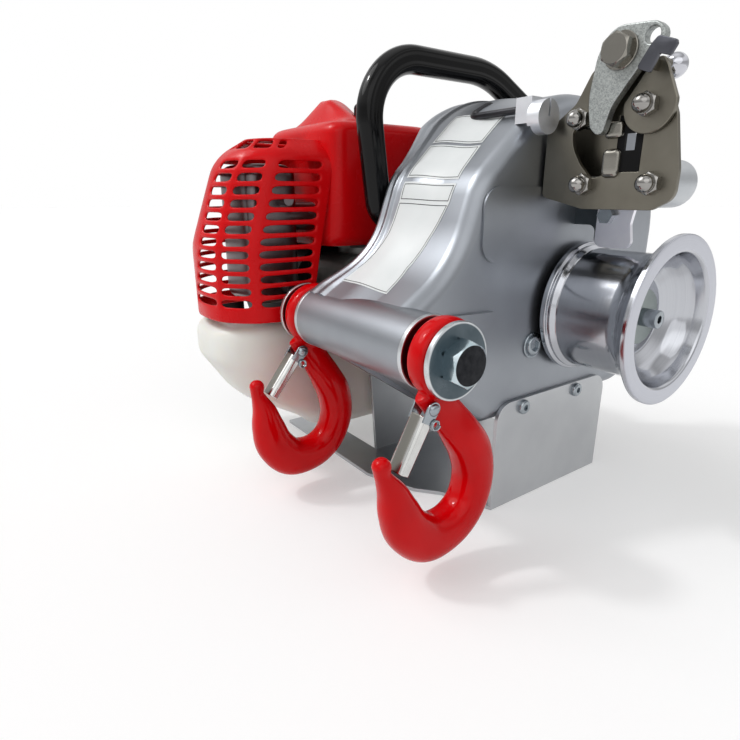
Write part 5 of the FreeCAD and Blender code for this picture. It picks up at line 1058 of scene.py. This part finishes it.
def shroud_shape(steps=168):
    """Superellipse rings up the leaning walls, over a quarter ellipse and in over the roof; a switch hole."""
    c, s = squared(np.linspace(0, 2 * np.pi, steps, endpoint=False), 2 / 7)
    bottom, top, roll, draw, rings = SHROUD_LOW, SHROUD_HIGH, 10.0, 9.0, 44
    over = np.radians(np.linspace(0, 90, 9))
    below, above = np.linspace(bottom, SWITCH[1] - 8.0, 5), np.linspace(SWITCH[1] + 8.0, top - roll, 6)
    wall_z = np.r_[below, SWITCH[1], above]
    z = np.r_[wall_z, top - roll + roll * np.sin(over[1:]), np.full(rings, top)]
    inset = np.r_[0 * wall_z, draw * (1 - np.cos(over[1:])), np.full(rings, draw)]
    share = np.r_[np.ones(len(wall_z) + 8), np.linspace(1, 0, rings + 1)[1:]]
    front = CRANK_Y - SHROUD_DEPTH + SHROUD_LEAN * np.clip((z - bottom) / (top - roll - bottom), 0, 1)
    half_x, half_y = SHROUD_HALF - inset, (CRANK_Y + SHROUD_DEPTH - front) / 2 - inset
    centre_y = (CRANK_Y + SHROUD_DEPTH + front) / 2
    x = SHROUD_X + (share * half_x)[:, None] * c
    y = centre_y[:, None] + (share * half_y)[:, None] * s
    height = z[:, None] + hump(x, y) * (z[:, None] > top - 0.01)
    points = np.stack([x, y, height], -1).reshape(-1, 3)
    faces = grid_faces(len(z), steps, close_columns=True)
    centre = points[faces].mean(axis=1)
    hole = (centre[:, 0] > SWITCH_X) & (np.abs(centre[:, 1:] - SWITCH) < SWITCH_HALF).all(axis=1)
    return points, faces[~hole]


shroud = piece("shroud_skin", [shroud_shape()], looks["red_plastic"], "winch_body",
               ["engine_shroud"], 70)
skin = shroud.modifiers.new("wall", "SOLIDIFY")
skin.thickness = 2.5 * MM
skin.offset = -1.0
print("shroud", len(shroud.data.polygons), "faces")


# %% Fittings of the shroud
def rounded_box(u, v, half_u, half_v, r):
    """The outline of a rectangle with rounded corners."""
    signs = ((-1, -1), (1, -1), (1, 1), (-1, 1))
    return rounded_line([(u + a * half_u, v + b * half_v) for a, b in signs], [r] * 4, 6, closed=True)


POST_X, SEAT_X = (-126.4, -112.4), (-98.0, -92.0)
post = slab("x", rounded_box(CRANK_Y - 6.0, CRANK_Z + 153.5, 7.0, 8.5, 4.0), *POST_X, 1.0)
seat = slab("x", rounded_box(*SWITCH, 9.0, 9.0, 3.0), *SEAT_X, 1.0)
lever_post = piece("throttle_post", [post], looks["black_plastic"], "winch_body")
switch_seat = piece("switch_seat", [seat], looks["red_plastic"], "winch_body")
print("post and seat", [len(o.data.polygons) for o in (lever_post, switch_seat)], "faces")

# %% [markdown]
# ## The fuel tank
#
# The tank is blow moulded: no edge on it is sharper than a few millimetres, and its flat walls run into each
# other softly. A copy of the drawn solid is remeshed into small even cells and smoothed many times, which is
# close to what the air pressure does to the soft plastic. The seat of the cap is kept as it is drawn.

# %% Tank
CAP_SEAT, TANK_VOXEL = 34.0, 2.0
points, triangles = drawn("fuel_tank")
tank = piece("tank_shell", [(points / MM, triangles)], looks["cream_plastic"], "winch_body",
             ["fuel_tank"])
melted(tank, TANK_VOXEL, 0)
places = np.zeros(len(tank.data.vertices) * 3)
tank.data.vertices.foreach_get("co", places)
from_cap = np.linalg.norm(places.reshape(-1, 3) / MM - middle("fuel_cap"), axis=1)
free = tank.vertex_groups.new(name="free")
free.add(np.flatnonzero(from_cap > CAP_SEAT).tolist(), 1.0, "REPLACE")
blown = tank.modifiers.new("blown", "SMOOTH")
blown.factor = 0.5
blown.iterations = 40
blown.vertex_group = "free"
print("tank", len(tank.data.polygons), "faces")

# %% [markdown]
# ## The muffler's heat shield
#
# Through the slots of the guard one sees a pressed steel can with soft corners. A box would show a hard edge
# behind every slot, so it is a stack of rounded rings, drawn in at both ends, over the solid muffler.

# %% Muffler shield
def soft_can(low, high, power=6.0, edge=9.0, steps=120):
    """Superellipse rings between two corners of a box, drawn in by a quarter circle at both ends."""
    low, high = np.array(low), np.array(high)
    c, s = squared(np.linspace(0, 2 * np.pi, steps, endpoint=False), 2 / power)
    over = np.radians(np.linspace(0, 90, 8))
    z = np.r_[low[2], low[2] + edge * (1 - np.sin(over[::-1])), high[2] - edge * (1 - np.sin(over)), high[2]]
    draw = np.r_[0.0, edge * (1 - np.cos(over[::-1])), edge * (1 - np.cos(over)), 0.0]
    half = (high - low)[:2] / 2
    size = np.r_[0.0, np.ones(len(z) - 2), 0.0]
    x = (low[0] + high[0]) / 2 + (size * (half[0] - draw))[:, None] * c
    y = (low[1] + high[1]) / 2 + (size * (half[1] - draw))[:, None] * s
    points = np.stack([x, y, np.broadcast_to(z[:, None], x.shape)], -1)
    return points.reshape(-1, 3), grid_faces(len(z), steps, close_columns=True)


low, _ = ends("muffler")
CAN_LEFT, CAN_RIGHT, CAN_TOP, CAN_DEPTH, CAN_GAP = -176.0, -118.0, 248.0, 42.0, 1.5
can = soft_can((CAN_LEFT, low[1] - CAN_GAP, low[2] - CAN_GAP), (CAN_RIGHT, low[1] + CAN_DEPTH, CAN_TOP))
shield = piece("muffler_shield", [can], looks["muffler_steel"], "winch_body", (), 50)
print("shield", len(shield.data.polygons), "faces")

# %% [markdown]
# ## The slotted engine guard
#
# The guard in front of the muffler is a red moulding with twelve rows of cooling slots that wrap round its
# corner. Cutting a hundred holes with booleans would leave ragged shading. Here the wall is a grid whose
# columns slide along the wall to meet the ends of the slots, the slot cells are simply left out, and Solidify
# and Subdivision Surface give it a wall and soft moulded edges.

# %% Measures of the guard
GUARD_Z = CRANK_Z + np.array([-3.0, 54.0, 114.0, 126.0, 132.0])
GUARD_FRONT = CRANK_Y + np.array([-141.0, -142.0, -123.0, -112.0, -98.0])
GUARD_BACK = CRANK_Y + np.array([-71.0, -60.0, -46.4, -44.0, -43.0])
GUARD_ROUND = np.array([46.0, 46.0, 40.0, 30.0, 20.0])
GUARD_RIGHT = -103.0 - np.array([0.0, 0.0, 1.0, 7.0, 18.0])
GUARD_LEFT = -206.0 + np.array([0.0, 2.0, 15.0, 29.0, 47.0])
GUARD_TOP, SLOT_HALF = 265.9, 2.7
SLOT_Z = 247.4 - 9.2 * np.arange(12)
ROW_Z = np.array([250.0, 231.6, 190.0, 167.2, 148.8])[::-1]
KNOTS = {  # where the slots end on the walk round the wall, from the upper row down, and at the very top
    "A1": ([57.3, 59.7, 65.4, 62.8, 62.0], 48.0), "A0": ([21.4, 20.5, 19.5, 19.0, 18.5], 18.85),
    "B1": ([11.5] * 5, 8.0), "B0": ([-5.1, -9.5, -10.0, -11.6, -14.9], -3.0),
    "C1": ([-9.3, -15.1, -15.5, -17.0, -19.1], -7.0), "C0": ([-28.0, -38.0, -37.0, -45.6, -55.4], -18.0),
}


def guard_measure(values, z):
    """A measure of the guard at a height, softened between its levels."""
    return np.mean([np.interp(z + o, GUARD_Z, values) for o in np.linspace(-5, 5, 8)], axis=0)


def guard_wall(s, z):
    """A walk round the wall: the right side, a quarter turn, the front, a quarter turn, back on the left."""
    front, radius = guard_measure(GUARD_FRONT, z), guard_measure(GUARD_ROUND, z)
    right, left = guard_measure(GUARD_RIGHT, z), guard_measure(GUARD_LEFT, z)
    quarter = radius * np.pi / 2
    flat = np.maximum(right - left - 2 * radius, 0)
    q = quarter / 2 - s
    a = np.clip(q, 0, quarter) / radius
    b = np.clip(q - quarter - flat, 0, quarter) / radius
    x = right - radius + radius * np.cos(a) - np.clip(q - quarter, 0, flat) - radius * np.sin(b)
    along_sides = np.maximum(-q, 0) + np.maximum(q - 2 * quarter - flat, 0)
    y = front + radius - radius * np.sin(a) + radius * (1 - np.cos(b)) + along_sides
    return np.stack([x, y, z + 0 * x], -1)


print("rows of slots", len(SLOT_Z), "from", SLOT_Z[-1], "to", SLOT_Z[0])


# %% Slotted guard
def guard_shape():
    """The wall's grid: columns slide between the slot ends, and the top runs straight back from its rim."""
    rows = [130.9, 138.0]
    for z in SLOT_Z[::-1]:
        rows += [z - SLOT_HALF, z + SLOT_HALF]
    rows = np.array(rows + [255.0, 259.0, 262.5, 265.0, GUARD_TOP])
    z, levels = rows[:, None], np.r_[ROW_Z, GUARD_TOP]
    knot = {k: np.interp(rows, levels, np.r_[v[::-1], top])[:, None] for k, (v, top) in KNOTS.items()}
    radius, right, left = (guard_measure(v, z) for v in (GUARD_ROUND, GUARD_RIGHT, GUARD_LEFT))
    half = radius * np.pi / 4
    far = -(2 * half + np.maximum(right - left - 2 * radius, 0))
    side = half + guard_measure(GUARD_BACK, z) - guard_measure(GUARD_FRONT, z) - radius
    stops = [side] + [knot[k] for k in ("A1", "A0", "B1", "B0", "C1", "C0")]
    stops += [far + 17.0, far - knot["A1"], far - side]
    cells = [3, 4, 2, 3, 1, 3, 5, 4, 3]
    names = ["", "A", "", "B", "", "C", "", "D", ""]
    runs = [a + (b - a) * np.linspace(0, 1, n, endpoint=False) for a, b, n in zip(stops, stops[1:], cells)]
    s = np.concatenate(runs + [stops[-1]], axis=1)
    points = guard_wall(s, np.broadcast_to(z, s.shape))
    column, begins = np.repeat(names, cells), np.cumsum([0] + cells)
    row = np.array([1 < k < len(rows) - 6 and k % 2 == 0 for k in range(len(rows) - 1)])
    shoulder = (rows[:-1] > 258.0) & (rows[:-1] < 264.0)
    single = np.isin(np.arange(len(column)), [begins[2], begins[6] + 1, begins[6] + 2])
    leaf = np.isin(column, ["B", "C"]) | single
    keep = ~((row[:, None] & (column != "")[None]) | (shoulder[:, None] & leaf[None]))
    faces = grid_faces(*s.shape).reshape(len(rows) - 1, -1, 4)[keep]
    rim = points[-1]
    first, last = cells[0] + cells[1], len(rim) - 1 - cells[7] - cells[8]
    back = rim[:first + 1][::-1]
    share = (back[:, 1] - back[0, 1]) / (back[-1, 1] - back[0, 1])
    front = rim[first:last + 1]
    top = front[None] + share[:, None, None] * (back[-1, 1] - front[None, :, 1:2]) * [0, 1, 0]
    return [(points.reshape(-1, 3), faces), (top.reshape(-1, 3), grid_faces(len(share), len(front)))]


guard = piece("slotted_guard", guard_shape(), looks["red_plastic"], "winch_body",
              ["muffler_cover"], 180)
wall = guard.modifiers.new("wall", "SOLIDIFY")
wall.thickness = 2.4 * MM
wall.offset = -1.0
soft = guard.modifiers.new("soft", "SUBSURF")
soft.levels = soft.render_levels = 2
print("guard", len(guard.data.polygons), "cells")

# %% [markdown]
# ## The rim of the case and the white label strip
#
# The casting swells out towards its joint and ends there in a rim with two raised beads. Beside the beads a
# long white label follows the curved front: a thin printed film, bare white fields with fine dark frames.
# Rim, film and frame lines are all strips carried along the case's own outline, each lifted a little more
# than the one below it, so they follow the curve without a texture and a line keeps its width everywhere.

# %% Outline of the case
case_shares = [(0.1385, 0.528), (0.203, 0.752), (0.435, 1.0), (1.0, 1.0), (1.0, 0.0)]
case_corners = [(HOOK[0], HOOK[1] + 22)] + [case_place(s) for s in case_shares]
case_line = rounded_line(case_corners, [0, 75.0, 40.0, 85.0, 96.0, 0], 40)
case_run = np.r_[0, np.cumsum(np.linalg.norm(np.diff(case_line, axis=0), axis=1))]


def on_strip(run):
    """Places on the case's outline at given runs, and the outward normals there."""
    run = np.asarray(run, float)
    spots = run[:, None] + [-0.5, 0.0, 0.5]
    near = np.stack([np.interp(spots, case_run, case_line[:, k]) for k in (0, 1)], -1)
    tangent = near[:, 2] - near[:, 0]
    tangent /= np.linalg.norm(tangent, axis=1)[:, None]
    return near[:, 1], np.stack([-tangent[:, 1], tangent[:, 0]], -1)


def rim_height(x):
    """How far the casting swells out over its drawn outline: a smooth step towards the joint."""
    u = np.clip((2.0 - x) / 30.0, 0, 1)
    return 3.4 * u * u * (3 - 2 * u)


print("outline of the case %.0f mm long" % case_run[-1])

# %% Raised rim
RIM_SWING = 15.0
RIM = [  # place along x and height over the outline, which the swell gives where there is none
    (3.0, -0.2), (0, 0.02), (-5, None), (-10, None), (-15, None), (-20, None), (-25, None), (-29, 3.4),
    (-38.5, 3.4), (-40, 3.7), (-41.2, 4.7), (-42.6, 5.0), (-44, 4.5), (-45.2, 3.4), (-47, 3.3), (-48.4, 4.2),
    (-50, 4.5), (-51.6, 4.0), (-52.6, 2.6), (-53.0, 0.5), (-53.0, -4.0), (-52.0, -12.0), (-40.0, -12.0),
    (-3.0, -4.0),
]


def case_rim(rows=120):
    """The rim's section, two beads and a rounded edge, carried up the outline; its left part swings out."""
    run = np.linspace(-10.0, 215.0, rows)
    at, normal = on_strip(np.clip(run, 0, None))
    at = at + np.minimum(run, 0)[:, None] * [0.83, 0.55]
    x = np.array([p[0] for p in RIM])
    out = np.array([rim_height(p[0]) if p[1] is None else p[1] for p in RIM])
    lower, upper = (1 - np.clip(run / 58.0, 0, 1)) ** 2.0, np.clip((run - 106.0) / 40.0, 0, 1) ** 1.2
    swing = -RIM_SWING * lower - RIM_SWING * upper
    left = np.clip((-29.0 - x) / 24.0, 0, 1)
    yz = at[:, None] + normal[:, None] * out[None, :, None]
    points = np.concatenate([(x[None] + swing[:, None] * left)[..., None], yz], -1)
    sides, count = grid_faces(rows, len(x), close_columns=True).tolist(), len(x)
    return points.reshape(-1, 3), sides + [list(range(count)), list(range((rows - 1) * count, rows * count))]


rim = piece("case_rim", [case_rim()], looks["cast_aluminium"], "winch_body", (), 50)
print("rim", len(rim.data.polygons), "faces")

# %% Label film and frame lines
FILM_LIFT, LINE_LIFT = 0.22, 0.32


def label_strip(start, end, left, right, lift, rows=60):
    """Points of the outline at even runs, moved out along its normal, between a left and a right edge."""
    run = np.linspace(start, end, rows)
    at, normal = on_strip(run)
    places = np.linspace(start, end, len(left))
    lo, hi = (np.interp(run, places, edge)[:, None] for edge in (left, right))
    x = lo + (hi - lo) * np.linspace(0, 1, 15)
    yz = at[:, None] + normal[:, None] * (rim_height(x) + lift)[..., None]
    return np.concatenate([x[..., None], yz], -1).reshape(-1, 3), grid_faces(rows, 15)


def frame_lines(start, end, left, right):
    """Four thin strips a little inside the field's edges."""
    inset, line = 1.3, 0.5
    a, b = np.array(left), np.array(right)
    run = [start + inset, end - inset]
    return [label_strip(*run, a + inset, a + inset + line, LINE_LIFT),
            label_strip(*run, b - inset - line, b - inset, LINE_LIFT),
            label_strip(run[0], run[0] + line, [a[0] + inset] * 2, [b[0] - inset] * 2, LINE_LIFT, 4),
            label_strip(run[1] - line, run[1], [a[-1] + inset] * 2, [b[-1] - inset] * 2, LINE_LIFT, 4)]


def printed(name, dark, light):
    """Printed film: an even colour with the faintest cloud in it."""
    f = Finish(name, metallic=0.0, specular_ior_level=0.3)
    f.set(base_color=f.ramp(f.noise(30.0), (0.3, screen(*dark)), (0.7, screen(*light))),
          roughness=f.spread(f.noise(5.0), 0.28, 0.38))
    return f.material


fields = [(7.0, 78.0, (-49.0, -41.0, -36.0, -34.0), (3.0, 0.5, 4.5, 12.0)),
          (78.0, 91.0, (-34.0, -34.5), (12.0, 13.0)),
          (94.0, 124.0, (-34.5, -36.0), (13.0, 10.0)),
          (126.5, 155.0, (-36.0, -36.0), (9.0, 9.0))]
film = piece("label_film", [label_strip(*f, FILM_LIFT) for f in fields],
             printed("label_white", (226, 230, 230), (235, 238, 238)), "winch_body")
lines = piece("label_lines", [p for f in fields for p in frame_lines(*f)],
              printed("label_ink", (52, 54, 56), (70, 72, 74)), "winch_body")
print("label", len(film.data.polygons), "faces", len(lines.data.polygons), "line faces")

# %% [markdown]
# ## Floor, light and camera
#
# The winch stands on a pale sweep that shows as white, to the camera and in polished metal, and still keeps
# the soft shadow. A wide key lamp with a small bright one in its middle, a wide fill lamp and an even world
# light it as a studio would. Polished metal sees a ceiling that goes from grey to white and back with height,
# because an even world alone would leave it flat. The camera stands where the photograph was taken from, a
# little to the right of the hooks and above them.

# %% Floor
def rays(tree, kind):
    """One for rays of this kind, nought for all others."""
    return tree.nodes.new("ShaderNodeLightPath").outputs["Is %s Ray" % kind]


REACH, FLOOR_Z = 12.0, -0.0006  # metres
FLOOR_TONE, FLOOR_LIFT = 0.72, 0.32
corners = [(x * REACH, y * REACH, FLOOR_Z) for x, y in ((-1, -1), (1, -1), (1, 1), (-1, 1))]
floor_mesh = bpy.data.meshes.new("floor")
floor_mesh.from_pydata(corners, [], [(0, 1, 2, 3)])
floor = bpy.data.objects.new("floor", floor_mesh)
bpy.context.scene.collection.objects.link(floor)
paper = bpy.data.materials.new("white_paper")
paper.use_nodes = True
shader = next(n for n in paper.node_tree.nodes if n.type == "BSDF_PRINCIPLED")
shader.inputs["Base Color"].default_value = (FLOOR_TONE, FLOOR_TONE, FLOOR_TONE, 1)
shader.inputs["Roughness"].default_value = 1.0
shader.inputs["Specular IOR Level"].default_value = 0.0
shader.inputs["Emission Color"].default_value = (1, 1, 1, 1)
lift = paper.node_tree.nodes.new("ShaderNodeMath")
lift.operation = "MULTIPLY"
lift.inputs[1].default_value = FLOOR_LIFT
shown = rays(paper.node_tree, "Camera")
for kind in ("Glossy", "Transmission"):
    either = paper.node_tree.nodes.new("ShaderNodeMath")
    either.operation = "MAXIMUM"
    paper.node_tree.links.new(shown, either.inputs[0])
    paper.node_tree.links.new(rays(paper.node_tree, kind), either.inputs[1])
    shown = either.outputs[0]
paper.node_tree.links.new(shown, lift.inputs[0])
paper.node_tree.links.new(lift.outputs[0], shader.inputs["Emission Strength"])
floor_mesh.materials.append(paper)
print("floor", 2 * REACH, "m wide")

# %% Light
world = bpy.data.worlds.new("studio")
world.use_nodes = True
bpy.context.scene.world = world
tree = world.node_tree
even = next(n for n in tree.nodes if n.type == "BACKGROUND")
even.inputs["Color"].default_value = (1, 1, 1, 1)
even.inputs["Strength"].default_value = 0.5
ceiling = tree.nodes.new("ShaderNodeBackground")
ceiling.inputs["Strength"].default_value = 1.0
way = tree.nodes.new("ShaderNodeTexCoord")
split = tree.nodes.new("ShaderNodeSeparateXYZ")
tree.links.new(way.outputs["Generated"], split.inputs[0])
sky = tree.nodes.new("ShaderNodeValToRGB")
tree.links.new(split.outputs["Z"], sky.inputs[0])
for place, grey in ((0.12, 0.55), (0.30, 0.50), (0.44, 0.92), (0.66, 1.0), (0.80, 0.45), (0.95, 0.8)):
    step = sky.color_ramp.elements.new(place)
    step.color = (grey, grey, grey, 1)
sky.color_ramp.elements[0].color = (0.8, 0.8, 0.8, 1)
tree.links.new(sky.outputs["Color"], ceiling.inputs["Color"])
white = tree.nodes.new("ShaderNodeBackground")
white.inputs["Color"].default_value = (1, 1, 1, 1)
white.inputs["Strength"].default_value = 1.0
surface = even.outputs[0]
for kind, other in (("Glossy", ceiling), ("Transmission", white), ("Camera", white)):
    blend = tree.nodes.new("ShaderNodeMixShader")
    tree.links.new(rays(tree, kind), blend.inputs[0])
    tree.links.new(surface, blend.inputs[1])
    tree.links.new(other.outputs[0], blend.inputs[2])
    surface = blend.outputs[0]
tree.links.new(surface, next(n for n in tree.nodes if n.type == "OUTPUT_WORLD").inputs["Surface"])


def sun(name, towards, strength, spread):
    """A distant soft lamp that shines along a direction; the spread is its width in degrees."""
    light = bpy.data.lights.new(name, "SUN")
    light.energy = strength
    light.angle = math.radians(spread)
    made = bpy.data.objects.new(name, light)
    bpy.context.scene.collection.objects.link(made)
    made.rotation_euler = Vector(towards).to_track_quat("-Z", "Y").to_euler()
    return made


sun("key", (0.45, 0.55, -0.85), 0.85, 40)
sun("spark", (0.45, 0.55, -0.85), 0.7, 6)
sun("fill", (-0.75, 0.45, -0.55), 0.45, 60)

# %% Camera
FOCAL_PIXELS, VIEW_PIXELS, SENSOR = 545.8, 740, 36.0
camera = bpy.data.objects.new("camera", bpy.data.cameras.new("camera"))
bpy.context.scene.collection.objects.link(camera)
ahead = Vector((-0.77208, 0.55745, -0.30520)).normalized()
right = Vector((0.5854, 0.8108, 0.0)).normalized()
up = right.cross(ahead)
turn = Matrix((right, up, -ahead)).transposed().to_4x4()
camera.matrix_world = Matrix.Translation(Vector((274.4, -364.0, 225.5)) * MM) @ turn
camera.data.sensor_width = SENSOR
camera.data.lens = FOCAL_PIXELS / VIEW_PIXELS * SENSOR
camera.data.clip_start = 0.01
bpy.context.scene.camera = camera
bpy.context.scene.view_settings.view_transform = "Standard"
print("camera lens %.2f mm" % camera.data.lens)
